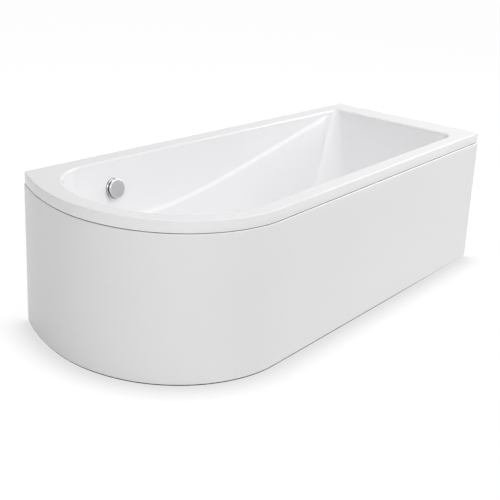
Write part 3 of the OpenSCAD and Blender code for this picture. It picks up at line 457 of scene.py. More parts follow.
@dataclass(frozen=True)
class TurnedFinish(Finish):
    """Chrome on a turned part: polished sides, and a face brushed in circles about the axis."""

    stand: Stand = Stand((0.0, 0.0, 0.0))
    lines: float = 1400.0
    face_from: float = 1.0
    face_blend: float = 0.0005
    polish: float = 0.07

    def local(self, graph: Graph, place: Socket) -> Socket:
        """Place in the part's own frame, whose z runs along the axis."""
        shifted = graph.add("VectorMath", {0: place, 1: self.stand.at}, operation="SUBTRACT").outputs[0]
        return graph.add("Mapping", {"Vector": shifted, "Rotation": (-self.stand.tilt, 0.0, 0.0)}).outputs["Vector"]

    def gloss(self, graph: Graph, place: Socket) -> Socket:
        """Roughness that goes from polished to brushed at the face."""
        height = graph.add("SeparateXYZ", {0: self.local(graph, place)}).outputs["Z"]
        edge = (self.face_from - self.face_blend, self.face_from)
        return graph.spread(height, edge, (self.polish, self.roughness))

    def relief(self, graph: Graph, place: Socket) -> Socket:
        """Fine circles left by the brushing: noise over the distance from the axis."""
        across = graph.add("VectorMath", {0: self.local(graph, place), 1: (1.0, 1.0, 0.0)}, operation="MULTIPLY")
        radius = graph.add("VectorMath", {0: across.outputs[0]}, operation="LENGTH").outputs["Value"]
        circles = graph.add("TexNoise", {"W": radius, "Scale": self.lines, "Detail": self.grain_detail},
                            noise_dimensions="1D")
        return graph.bump(circles.outputs["Fac"], self.grain, self.grain_depth)


@dataclass(frozen=True)
class ShellFinish(Finish):
    """Gloss acrylic that turns into a rough glass-fibre backing where the attribute "backing" is 1."""

    backing: Point = (0.66, 0.66, 0.6)
    backing_dark: float = 0.72
    backing_stops: Pair = (0.35, 0.65)
    backing_rough: Pair = (0.47, 0.77)
    fibre_scale: float = 90.0
    fibre_detail: float = 5.0
    fibre_bend: float = 2.5
    fibre_strength: float = 0.8
    fibre_depth: float = 0.0012

    def fibres(self, graph: Graph, place: Socket) -> Socket:
        """Matted strands: noise that is bent strongly by itself."""
        return graph.noise(place, self.fibre_scale, self.fibre_detail, self.fibre_bend)

    def between(self, graph: Graph, kind: str, front: Socket, rear: Socket) -> Socket:
        """Blend from the gloss side's value to the backing's.

        Args:
            graph: the material's graph.
            kind: FLOAT or RGBA.
            front: value on the gloss side.
            rear: value on the backing.

        Returns:
            The blended socket.
        """
        share = graph.add("Attribute", attribute_name="backing").outputs["Fac"]
        first, second, result = {"FLOAT": (2, 3, 0), "RGBA": (6, 7, 2)}[kind]
        return graph.add("Mix", {0: share, first: front, second: rear}, data_type=kind).outputs[result]

    def tint(self, graph: Graph, place: Socket) -> Socket:
        """White on the gloss side, straw grey with darker strands on the backing."""
        dark = tuple(c * self.backing_dark for c in self.backing)
        rear = graph.ramp(self.fibres(graph, place), (dark, self.backing), self.backing_stops)
        return self.between(graph, "RGBA", super().tint(graph, place), rear)

    def gloss(self, graph: Graph, place: Socket) -> Socket:
        """Gloss in front, dull on the backing."""
        dull = graph.spread(self.fibres(graph, place), (0.0, 1.0), self.backing_rough)
        return self.between(graph, "FLOAT", super().gloss(graph, place), dull)

    def relief(self, graph: Graph, place: Socket) -> Socket:
        """A trace of unevenness in front, deep strands on the backing."""
        faint = graph.maths("MULTIPLY", graph.noise(place, self.grain_scale, self.grain_detail), self.grain)
        height = self.between(graph, "FLOAT", faint, self.fibres(graph, place))
        return graph.bump(height, self.fibre_strength, self.fibre_depth)


@dataclass(frozen=True)
class ZincFinish(Finish):
    """Zinc-plated sheet with faint crystals of slightly different brightness."""

    crystal_scale: float = 260.0
    shades: Pair = (-0.12, 0.08)
    shade_stops: Pair = (0.2, 0.8)

    def tint(self, graph: Graph, place: Socket) -> Socket:
        """Crystals a little darker and lighter than the colour."""
        return graph.ramp(graph.cells(place, self.crystal_scale), self.scaled(*self.shades), self.shade_stops)


@dataclass(frozen=True)
class TimberFinish(Finish):
    """Pressed chips and sawn softwood: long grain along X with darker flakes."""

    along: Point = (0.12, 1.0, 1.0)
    chip_scale: float = 170.0
    chip_share: float = 0.35
    fibre_scale: float = 220.0
    fibre_detail: float = 6.0
    shades: Pair = (-0.45, 0.18)
    shade_stops: Pair = (0.35, 0.95)

    def tint(self, graph: Graph, place: Socket) -> Socket:
        """Grain stretched along X, with chips on top."""
        stretched = graph.add("Mapping", {"Vector": place, "Scale": self.along}).outputs["Vector"]
        grain = graph.noise(stretched, self.fibre_scale, self.fibre_detail)
        joined = graph.maths("MULTIPLY_ADD", graph.cells(place, self.chip_scale), self.chip_share, grain)
        return graph.ramp(joined, self.scaled(*self.shades), self.shade_stops)


OVERFLOW_STAND = Stand(OVERFLOW_AT, QUARTER - WALL_LEAN)
WASTE_STAND = Stand(WASTE_AT)

FINISHES: dict[Look, Finish] = {
    f.look: f for f in (
        ShellFinish(Look.ACRYLIC, (0.915, 0.907, 0.919), 0.16, mottle=0.006, mottle_scale=3.0, grain=0.01,
                    grain_scale=260.0, rough_spread=0.03),
        Finish(Look.PANEL, (0.858, 0.846, 0.854), 0.24, mottle=0.006, mottle_scale=3.0, grain=0.03,
               grain_scale=260.0, grain_depth=0.0004, rough_spread=0.03),
        TurnedFinish(Look.CHROME, (0.84, 0.84, 0.85), 0.24, metallic=1.0, mottle=0.03, grain=0.12,
                     stand=OVERFLOW_STAND, face_from=0.0198),
        TurnedFinish(Look.RING_CHROME, (0.42, 0.42, 0.43), 0.1, metallic=1.0, mottle=0.03,
                     grain_depth=0.0001, stand=OVERFLOW_STAND),
        TurnedFinish(Look.WASTE_CHROME, (0.7, 0.7, 0.71), 0.12, metallic=1.0, mottle=0.03,
                     grain_depth=0.0001, stand=WASTE_STAND),
        TimberFinish(Look.TIMBER, (0.62, 0.45, 0.28), 0.8, grain=0.5, grain_scale=420.0, grain_depth=0.001),
        ZincFinish(Look.ZINC, (0.56, 0.57, 0.6), 0.36, metallic=0.9, grain=0.1, grain_scale=500.0),
        Finish(Look.FOOT, (0.035, 0.035, 0.038), 0.55, mottle=0.15, grain=0.3, grain_scale=1500.0),
        Finish(Look.FITTING, (0.78, 0.78, 0.77), 0.38, mottle=0.03, grain=0.1, grain_scale=1200.0),
        Finish(Look.HOSE, (0.48, 0.49, 0.5), 0.45, mottle=0.06, grain=0.15, grain_scale=1000.0),
        Finish(Look.RUBBER, (0.03, 0.03, 0.03), 0.7, mottle=0.2, grain=0.3, grain_scale=1600.0),
        Finish(Look.BRASS, (0.66, 0.47, 0.2), 0.3, metallic=1.0, mottle=0.08, grain=0.15, grain_scale=700.0),
        Finish(Look.CABLE, (0.025, 0.025, 0.028), 0.5, mottle=0.2, grain=0.2, grain_scale=2000.0),
    )
}


class Palette:
    """Builds each finish once and dresses objects with it."""

    def __init__(self) -> None:
        """Makes every material."""
        self.made: dict[Look, bpy.types.Material] = {look: finish.build() for look, finish in FINISHES.items()}

    def dress(self, piece: Piece, look: Look) -> None:
        """Gives a piece one finish on all its faces."""
        piece.data.materials.clear()
        piece.data.materials.append(self.made[look])

    def fit(self, piece: Piece, body: str, look: Look, *nodes: str) -> None:
        """Dresses a new piece, hangs it on its body and lets it stand for its nodes.

        Args:
            piece: the new piece.
            body: the body that it moves with.
            look: its finish.
            nodes: the nodes that it stands for, if any.
        """
        self.dress(piece, look)
        if nodes:
            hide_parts(*nodes)
        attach(piece, body)
        log.info("%s: %d faces on %s", piece.name, len(piece.data.polygons), body)


# ------------------------------------------------------------------ the bath's plan

@dataclass(frozen=True)
class Outline:
    """Plan of the bath: three rounds that touch each other, then a straight front up to the square end."""

    length: float = 1.8
    depth: float = 0.8
    narrow_end: float = 0.685
    round_wall: float = 0.86
    round_end: float = 0.49
    round_front: float = 0.4
    join_high: float = math.radians(172.0)
    join_low: float = math.radians(203.0)
    corner_run: float = 0.06
    corner_r: float = 0.004
    ref_x: float = 0.0

    @property
    def wall_y(self) -> float:
        """Y of the wall side."""
        return self.depth / 2

    @property
    def right_x(self) -> float:
        """X of the square end."""
        return self.length / 2

    @property
    def c3(self) -> Array:
        """Centre of the front round."""
        reach = self.round_end - self.round_front
        return np.array([-self.right_x + self.round_end + reach * math.cos(self.join_low),
                         -self.wall_y + self.round_front])

    @property
    def c2(self) -> Array:
        """Centre of the left end's round."""
        return self.c3 - (self.round_end - self.round_front) * unit(self.join_low)

    @property
    def c1(self) -> Array:
        """Centre of the round next to the wall."""
        return self.c2 + (self.round_end - self.round_wall) * unit(self.join_high)

    @property
    def front_angle(self) -> float:
        """Direction of the straight front, which touches the front round and ends at the square corner."""
        span = np.array([self.right_x, self.wall_y - self.narrow_end]) - self.c3
        return math.atan2(span[1], span[0]) + math.asin(self.round_front / float(np.hypot(*span)))

    @property
    def front_join(self) -> float:
        """Direction from c3 to where the straight front starts."""
        return math.radians(270.0) + self.front_angle

    def front_start(self, inset: Number) -> Array:
        """Point where the straight front drawn in by inset starts."""
        return self.c3 + (self.round_front - np.asarray(inset, float))[..., None] * unit(self.front_join)

    def front_y(self, x: Number, inset: Number) -> Array:
        """Y of the straight front, drawn in by inset, at x."""
        start = self.front_start(inset)
        return start[..., 1] + (x - start[..., 0]) * math.tan(self.front_angle)

    def corner(self, run: Array, at: Array, before: Array, after: Array) -> Array:
        """Points near a square corner, with the corner itself rounded.

        A point further than corner_r from the corner lies on its side. One nearer lies on the arc that touches both
        sides, at an angle in step with its distance.

        Args:
            run: signed distance past the corner along the outline.
            at: the corner.
            before: direction of the side that comes in.
            after: direction of the side that goes out.

        Returns:
            The points.
        """
        r, run = self.corner_r, run[:, None]
        straight = at + np.where(run < 0, run * before, run * after)
        centre = at - r * before + r * after
        swing = QUARTER / 2 * (1.0 + np.clip(run / r, -1.0, 1.0))
        arc = centre - r * after * np.cos(swing) + r * before * np.sin(swing)
        return np.where(np.abs(run) < r, arc, straight)

    def rim_line(self, stretch: Array, place: Array, inset: float, back: float, right: float) -> Array:
        """The rim's outer outline, drawn in by inset, with its wall side and square end drawn in apart.

        The eight stretches are the wall side's left half with the round next to it, the left end's round, the front
        round, the straight front, the front corner, the square end, the back corner and the wall side's right half.

        Args:
            stretch: which stretch each sample is on.
            place: place along the stretch, 0 to 1.
            inset: how far the rounds and the front are drawn in.
            back: how far the wall side is drawn in.
            right: how far the square end is drawn in.

        Returns:
            Points in plan, one row for each sample.
        """
        t, run = place, (2 * place - 1) * self.corner_run
        top, far, r1 = self.wall_y - back, self.right_x - right, self.round_wall - inset
        along, up, left = unit(self.front_angle), np.array([0.0, 1.0]), np.array([-1.0, 0.0])
        turn = math.pi - float(np.arcsin((top - self.c1[1]) / r1))
        flat = plan(mix(self.ref_x, self.c1[0] + r1 * math.cos(turn), 2 * t), top)
        arc = self.c1 + r1 * unit(mix(turn, self.join_high, 2 * t - 1))
        x = mix(float(self.front_start(inset)[0]), far - self.corner_run, t)
        corner_y = float(self.front_y(far, inset))
        return gathered(stretch, [
            np.where((t <= 0.5)[:, None], flat, arc),
            self.c2 + (self.round_end - inset) * unit(mix(self.join_high, self.join_low, t)),
            self.c3 + (self.round_front - inset) * unit(mix(self.join_low, self.front_join, t)),
            plan(x, self.front_y(x, inset)),
            self.corner(np.where(run < 0, run / along[0], run), np.array([far, corner_y]), along, up),
            plan(far, mix(corner_y + self.corner_run, top - self.corner_run, t)),
            self.corner(run, np.array([far, top]), up, left),
            plan(mix(far - self.corner_run, self.ref_x, t), top),
        ])


# ------------------------------------------------------------------ the moulded shell

class Row(Enum):
    """Kinds of ring on the basin's wall, from the rim down."""

    ROLL = 0
    UPPER = 1
    STEP = 2
    LOWER = 3
    FLOOR = 4


@dataclass
class BathShell:
    """The acrylic moulding: rim, skirt and basin with its slanting crease."""

    height: float = 0.52
    sheet: float = 0.005
    skirt: float = 0.038
    proud: float = 0.0025
    rim_front: float = 0.062
    rim_back: float = 0.065
    rim_right: float = 0.115
    roll: float = 0.008
    edge: float = 0.003
    hem: float = 0.001
    hem_bevel: float = 0.0005
    basin_depth: float = 0.4
    wall_lean: float = WALL_LEAN
    end_lean: float = math.radians(24.0)
    floor_round: float = 0.07
    end_round: float = 0.17
    left_round: float = 0.42
    left_join: float = math.radians(195.0)
    left_corner: float = 0.22
    left_shrink: float = 0.35
    back_corner: float = 0.022
    front_corner: float = 0.058
    corner_growth: float = 0.35
    crease_below_roll: float = 0.006
    crease_slope: float = 0.213
    crease_level: float = 0.21
    crease_power: int = 8
    crease_fade: float = 0.015
    ledge: float = 0.012
    ledge_drop: float = 0.007
    ledge_soft: float = 0.3
    hole: float = 0.026
    hole_half: float = 0.03
    steps: tuple[int, ...] = (56, 36, 84, 64, 56, 16, 56, 90)
    corners: tuple[int, int] = (4, 6)
    corner_crowd: float = 1.7
    inner_rows: tuple[tuple[Row, int], ...] = (
        (Row.FLOOR, 21), (Row.LOWER, 15), (Row.STEP, 12), (Row.UPPER, 11), (Row.ROLL, 8))
    outer_rows: tuple[tuple[Row, int], ...] = ((Row.STEP, 5), (Row.LOWER, 5), (Row.FLOOR, 11))
    floor_shares: tuple[float, ...] = (0.15, 0.4, 0.65, 0.85)
    rim_shares: tuple[float, ...] = (0.05, 0.3, 0.6, 0.95)
    under_shares: tuple[float, ...] = (0.3, 0.65, 1.0)
    base_shares: tuple[float, ...] = (0.35, 0.8)
    edge_rings: int = 7
    sharp: float = 38.0

    def __post_init__(self) -> None:
        """Works out the plan of the basin and the samples round it, which crowd towards the corners."""
        rim = Outline()
        self.front_round = rim.round_front - self.rim_front
        self.middle = rim.c3 - (self.left_round - self.front_round) * unit(self.left_join)
        self.back_y = rim.wall_y - self.rim_back
        self.right_x = rim.right_x - self.rim_right
        self.ref_x = float(self.middle[0]) - self.left_round / 2
        self.outline = Outline(ref_x=self.ref_x)
        self.crease_start = self.roll + self.crease_below_roll
        places = [np.arange(count) / count for count in self.steps]
        for number in self.corners:
            s = 2 * places[number] - 1
            places[number] = 0.5 + 0.5 * np.sign(s) * np.abs(s) ** self.corner_crowd
        self.stretch = np.repeat(np.arange(len(self.steps)), self.steps)
        self.place = np.concatenate(places)

    def crease(self, x: Array) -> Array:
        """Depth of the crease below the rim at x: a straight fall from the square end that levels out softly.

        The fall f is slope times the distance from the square end, and the depth is f / (1 + (f / level)^n)^(1/n),
        with n the crease_power.
        """
        fall, n = np.maximum(self.right_x - x, 0.0) * self.crease_slope, self.crease_power
        return np.maximum(self.crease_start, fall / (1.0 + (fall / self.crease_level) ** n) ** (1.0 / n))

    def ledge_at(self, x: Array) -> Array:
        """Width of the step at the crease, which fades out towards the square end."""
        return self.ledge * smooth((self.crease(x) - self.crease_start) / self.crease_fade)

    def wall(self, d: Number, lean: float) -> Number:
        """Inset of a wall that leans, at depth d below the rim."""
        return (d - self.roll) * math.tan(lean)

    def profile(self, kind: Row, p: float, crease: Array, ledge: Array, lean: float,
                r: float) -> tuple[Array, Array, Array]:
        """Inset, depth and slope of one ring of the basin's wall.

        The roll and the floor round are quarter arcs. The upper and lower walls are straight, and the step between
        them adds the ledge's width over the ledge's drop, along a ramp with rounded corners.

        Args:
            kind: which part of the wall the ring is on.
            p: place on that part, 0 at its top.
            crease: depth of the crease at each sample.
            ledge: width of the step at each sample.
            lean: the wall's lean.
            r: radius of the floor round.

        Returns:
            Three arrays: inset, depth and the slope's angle from upright.
        """
        full = np.zeros_like(crease)
        low = self.basin_depth - r * (1.0 - math.sin(lean))
        soft = self.ledge_soft * self.ledge_drop
        if kind is Row.ROLL:
            a = p * QUARTER
            return full - self.roll * (1 - math.sin(a)), full + self.roll * (1 - math.cos(a)), full
        if kind is Row.FLOOR:
            a = mix(lean, QUARTER, p)
            return (self.wall(low, lean) + ledge + r * (math.cos(lean) - math.cos(a)),
                    full + self.basin_depth - r * (1 - math.sin(a)), full + a)
        if kind is Row.UPPER:
            d, out = mix(self.roll, crease - soft, p), 0.0
        elif kind is Row.STEP:
            d = crease + mix(-soft, self.ledge_drop + soft, p)
            out = ledge * soft_ramp((d - crease) / self.ledge_drop, self.ledge_soft)
        else:
            d, out = mix(crease + self.ledge_drop + soft, low, p), ledge
        return self.wall(d, lean) + out, d, full + lean

    def side(self, kind: Row, p: float, x: Array, t_out: float) -> tuple[Array, Array]:
        """Inset and depth on a side wall at x, on the inner face or, with t_out, the outer one."""
        i, d, a = self.profile(kind, p, self.crease(x), self.ledge_at(x), self.wall_lean, self.floor_round)
        return i - t_out * np.cos(a), d + t_out * np.sin(a)

    def side_at(self, kind: Row, p: float, x: float, t_out: float) -> Pair:
        """Inset and depth on a side wall at one place."""
        i, d = self.side(kind, p, np.array([x]), t_out)
        return float(i[0]), float(d[0])

    def end(self, kind: Row, p: float, t_out: float) -> Pair:
        """Inset and depth on the square end's wall."""
        i, d, a = self.profile(kind, p, np.array([self.crease_start]), np.zeros(1), self.end_lean, self.end_round)
        return float((i - t_out * np.cos(a))[0]), float((d + t_out * np.sin(a))[0])

    def ring(self, kind: Row, p: float, t_out: float = 0.0) -> Array:
        """One ring of the basin, through every sample round it.

        The left end is three arcs drawn in by the wall's inset there. The front and the back are straight lines
        drawn in by the inset at each x. The right end is a straight line between two corner arcs whose radius grows
        with depth, and along these arcs the depth eases from the side wall's to the end wall's.

        Args:
            kind: which part of the wall the ring is on.
            p: place on that part.
            t_out: distance out of the inner face, 0 or the sheet's thickness.

        Returns:
            Points, one row for each sample.
        """
        t, o = self.place, self.outline
        i0, d0 = self.side_at(kind, p, self.ref_x, t_out)
        ir, dr = self.side_at(kind, p, self.right_x, t_out)
        ie, de = self.end(kind, p, t_out)
        rl = self.left_corner - self.left_shrink * i0
        my, reach = self.back_y - i0 - rl, self.left_round - i0 - rl
        m = np.array([self.middle[0] - math.sqrt(reach ** 2 - (my - self.middle[1]) ** 2), my])
        turn = math.atan2(m[1] - self.middle[1], m[0] - self.middle[0])
        rb = self.back_corner + self.corner_growth * de
        rf = self.front_corner + self.corner_growth * de
        back = np.array([self.right_x - ie - rb, self.back_y - ir - rb])
        fore_x = self.right_x - ie - rf
        fore = np.array([fore_x, float(o.front_y(fore_x, self.rim_front + ir + rf))])
        x3 = mix(float(o.front_start(self.rim_front + i0)[0]), fore[0] + rf * math.sin(o.front_angle), t)
        x7 = mix(back[0], m[0], t)
        (i3, d3), (i7, d7) = (self.side(kind, p, x, t_out) for x in (x3, x7))
        lines = (
            (m + rl * unit(mix(QUARTER, turn, t)), d0),
            (self.middle + (self.left_round - i0) * unit(mix(turn, self.left_join, t)), d0),
            (o.c3 + (self.front_round - i0) * unit(mix(self.left_join, o.front_join, t)), d0),
            (plan(x3, o.front_y(x3, self.rim_front + i3)), d3),
            (fore + rf * unit(mix(o.front_join, TURN, t)), mix(dr, de, smooth(t))),
            (plan(fore[0] + rf, mix(fore[1], back[1], t)), de),
            (back + rb * unit(mix(0.0, QUARTER, t)), mix(de, dr, smooth(t))),
            (plan(x7, self.back_y - i7), d7),
        )
        return gathered(self.stretch, [raised(points, self.height - depth) for points, depth in lines])

    def rim(self, inset: float, z: float) -> Array:
        """One ring of the rim's outside, drawn in by inset all round."""
        return raised(self.outline.rim_line(self.stretch, self.place, self.proud + inset, inset, inset), z)

    def shown(self) -> list[Array]:
        """Rings of the gloss side, from the middle of the basin's floor over the rim to the skirt's foot."""
        floor = self.ring(Row.FLOOR, 1.0)
        centre = np.append(floor[:, :2].mean(axis=0), self.height - self.basin_depth)
        rings = [mix(centre, floor, share) for share in self.floor_shares] + [floor]
        for kind, count in self.inner_rows:
            rings += [self.ring(kind, p) for p in np.linspace(1.0, 0.0, count + 1)[1:]]
        inner, outer = rings[-1], self.rim(self.edge, self.height)
        rings += [mix(inner, outer, share) for share in self.rim_shares]
        turn = np.linspace(0.0, QUARTER, self.edge_rings)
        low, e, h = self.height - self.skirt, self.edge, self.hem
        rings += [self.rim(e * (1 - math.sin(a)), self.height - e * (1 - math.cos(a))) for a in turn]
        rings += [self.rim(h * (1 - math.cos(a)), low + h * (1 - math.sin(a))) for a in turn[::2]]
        return rings + [self.rim(self.sheet - self.hem_bevel, low)]

    def hidden(self) -> list[Array]:
        """Rings of the backing, from the skirt's foot under the rim to the middle of the underside."""
        rings = [self.rim(self.sheet, self.height - self.skirt + self.hem_bevel),
                 self.rim(self.sheet, self.height - self.sheet)]
        under = self.ring(Row.UPPER, 0.0, self.sheet)
        under[:, 2] = self.height - self.sheet
        rings += [under] + [self.ring(Row.UPPER, p, self.sheet) for p in self.under_shares]
        for kind, count in self.outer_rows:
            rings += [self.ring(kind, p, self.sheet) for p in np.linspace(0.0, 1.0, count + 1)[1:]]
        below = rings[-1]
        centre = np.append(below[:, :2].mean(axis=0), self.height - self.basin_depth - self.sheet)
        return rings + [mix(below, centre, share) for share in self.base_shares]

    def build(self, palette: Palette) -> None:
        """Makes the shell, marks its backing and cuts its two holes."""
        front, rear = self.shown(), self.hidden()
        rings = np.stack(front + rear)
        shell = Surface.skin("bath_shell_skin", rings, self.sharp)
        behind = np.repeat(np.arange(len(rings)) >= len(front), rings.shape[1])
        mark = shell.data.attributes.new("backing", "FLOAT", "POINT")
        mark.data.foreach_set("value", np.append(behind, [False, True]).astype(float))
        for stand in (WASTE_STAND, OVERFLOW_STAND):
            drill(shell, stand, self.hole, self.hole_half)
        shell.data.set_sharp_from_angle(angle=math.radians(self.sharp))
        palette.fit(shell, "bath", Look.ACRYLIC, "bath_shell")


# ------------------------------------------------------------------ the front panel

@dataclass
class FrontPanel:
    """One sheet bent round the left end and along the front, with a rounded top edge."""

    sheet: float = 0.004
    top: float = 0.48
    foot: float = 0.004
    edge: float = 0.003
    edge_steps: int = 9
    bevel: float = 0.0004
    rise_from: float = 0.06
    rise_to: float = 0.02
    rise_steps: int = 6
    skirt_under: float = 0.482
    # painted shade: a black strip behind the panel's top edge fills the gap under the rim, where there would be only
    # shade
    shade_strip: float = 0.003
    shade_strip_lap: float = 0.0008
    shade_strip_soft: float = 0.0004
    shade_strip_steps: int = 3
    steps: tuple[int, ...] = (60, 60, 130, 24)
    square: Outline = Outline(corner_r=1e-9)
    sharp: float = 38.0

    def section(self) -> Array:
        """Section as inset and height, anticlockwise from the foot of the inner face.

        The top edge is a quarter arc and the other corners are small bevels.
        """
        s, b, e, top = self.sheet, self.bevel, self.edge, self.top
        a = np.linspace(0.0, QUARTER, self.edge_steps)
        arc = plan(e - e * np.cos(a), top - e + e * np.sin(a))
        foot = [[s, self.foot + b], [s - b, self.foot], [b, self.foot], [0.0, self.foot + b]]
        rise = plan(0.0, np.linspace(self.foot + self.rise_from, top - e - self.rise_to, self.rise_steps))
        return np.concatenate([foot, rise, arc, [[s - b, top], [s, top - b]]])

    def along(self, section: Array) -> Array:
        """Section carried along the outline from the wall to the square end.

        Args:
            section: inset and height of each corner.

        Returns:
            Rings of points, one for each place along the outline.
        """
        stretch = np.append(np.repeat(np.arange(len(self.steps)), self.steps), len(self.steps))
        place = np.concatenate([np.arange(count) / count for count in self.steps] + [[0.5]])
        place[:self.steps[0]] = 0.5 + place[:self.steps[0]] / 2
        return np.stack([raised(self.square.rim_line(stretch, place, float(inset), 0.0, 0.0), z)
                         for inset, z in section], axis=1)

    def build(self, palette: Palette) -> None:
        """Makes the panel, and a black strip that closes the gap behind its top edge and paints the shade there."""
        panel = Surface.skin("front_panel_sheet", self.along(self.section()), self.sharp)
        palette.fit(panel, "bath", Look.PANEL, "front_panel")
        # the black strip that paints the shade in the gap between the panel's top and the rim
        s, w, low, high = self.sheet, self.shade_strip, self.top - self.shade_strip_lap, self.skirt_under
        shade_strip = soften([[s + w, low], [s, low], [s, high], [s + w, high]], self.shade_strip_soft, self.shade_strip_steps)
        palette.fit(Surface.skin("panel_gap_shade_strip", self.along(shade_strip), self.sharp), "bath", Look.RUBBER)


# ------------------------------------------------------------------ overflow and waste

@dataclass
class OverflowSet:
    """Chrome ring on the basin's wall and the turning knob in front of it."""

    neck: float = 0.0255
    lip: float = 0.0225
    ring: float = 0.036
    ring_high: float = 0.006
    ring_side: float = 0.4
    ring_bevel: float = 0.003
    ring_soft: float = 0.0011
    knob: float = 0.032
    waist: float = 0.031
    back: float = 0.009
    out: float = 0.02
    bore: float = 0.006
    bore_top: float = 0.015
    shoulder: float = 0.003
    brim: float = 0.003
    brim_slope: float = 0.001
    bevel: float = 0.001
    axis_gap: float = 0.0005
    knob_soft: float = 0.0008
    face_inset: float = 0.0015
    face_share: float = 0.97
    face_rings: int = 12
    grip_half: float = 0.0058
    grip_deep: float = 0.0038
    grip_flat: float = 0.35
    columns: tuple[int, int] = (128, 192)
    soft_steps: int = 5

    def grip(self, a: Array, r: Array) -> Array:
        """Radius with a scoop at the top and at the bottom.

        The scoop's depth falls smoothly to nothing at grip_half from its middle along the rim, and grows with the
        cube of r.
        """
        off = np.abs((a % math.pi) - QUARTER) * self.knob
        deep = self.grip_deep * (1.0 - smooth((off / self.grip_half - self.grip_flat) / (1.0 - self.grip_flat)))
        return r - deep * (r / self.knob) ** 3

    def build(self, palette: Palette) -> None:
        """Turns both pieces."""
        n, l, r, h = self.neck, self.lip, self.ring, self.ring_high
        loop = soften([[n, 0.0], [r, 0.0], [r, self.ring_side * h], [r - self.ring_bevel, h], [l, h], [l, h / 2],
                       [n, h / 2]], self.ring_soft, self.soft_steps)
        palette.fit(Surface.loops("overflow_ring_turned", [OVERFLOW_STAND.turned(loop, self.columns[0])]),
                    "bath", Look.RING_CHROME, "overflow_ring")
        k, w, b, o, s, e = self.knob, self.waist, self.back, self.out, self.shoulder, self.axis_gap
        low = o - self.brim
        outline = soften([[e, self.bore_top], [self.bore, self.bore_top], [self.bore, b], [w - s, b], [w, b + s],
                          [w, low - self.brim_slope], [k, low], [k, o - self.bevel], [k - self.bevel, o], [e, o]],
                         self.knob_soft, self.soft_steps, False)
        face = plan(np.linspace(self.face_share, 0.0, self.face_rings)[:-1] * (k - self.face_inset), o)
        outline = np.concatenate([outline[:-1], face, outline[-1:]])
        knob = Surface.skin("overflow_knob_turned", OVERFLOW_STAND.turned(outline, self.columns[1], self.grip))
        palette.fit(knob, "knob", Look.CHROME, "overflow_knob")


@dataclass
class WasteSet:
    """Chrome flange in the basin's floor and the lifting plug in it."""

    under: float = -0.008
    collar: float = 0.0255
    flange: float = 0.035
    flange_high: float = 0.002
    flange_bevel: float = 0.0015
    throat: float = 0.0204
    seat: float = 0.0225
    seat_low: float = -0.003
    plug: float = 0.02
    plug_low: float = -0.0025
    plug_high: float = 0.0025
    plug_bevel: float = 0.001
    plug_step: float = 0.002
    dome: float = 0.001
    dome_shares: Pair = (0.95, 0.015)
    dome_rings: int = 12
    stem: float = 0.003
    axis_gap: float = 0.0003
    soft: float = 0.0007
    soft_steps: int = 5
    columns: int = 128

    def build(self, palette: Palette) -> None:
        """Turns both pieces; the plug's top rises as dome times 1 - (r / plug)^2."""
        c, f, t, s, top = self.collar, self.flange, self.throat, self.seat, self.flange_high
        loop = soften([[t, self.under], [c, self.under], [c, 0.0], [f, 0.0], [f - self.flange_bevel, top],
                       [s, top], [s, self.seat_low], [t, self.seat_low]], self.soft, self.soft_steps)
        palette.fit(Surface.loops("waste_flange_turned", [WASTE_STAND.turned(loop, self.columns)]),
                    "bath", Look.WASTE_CHROME, "waste_flange")
        p, low, high, b, g = self.plug, self.plug_low, self.plug_high, self.plug_bevel, self.plug_step
        side = soften([[self.axis_gap, low + g], [self.stem, low + g], [self.stem, low], [p - g, low], [p, low + g],
                       [p, high - b], [p - b, high]], self.soft, self.soft_steps, False)
        r = np.linspace(*self.dome_shares, self.dome_rings) * (p - b)
        rings = np.concatenate([side, plan(r, high + self.dome * (1.0 - (r / (p - b)) ** 2))])
        palette.fit(Surface.skin("popup_plug_turned", WASTE_STAND.turned(rings, self.columns)),
                    "plug", Look.WASTE_CHROME, "popup_plug")


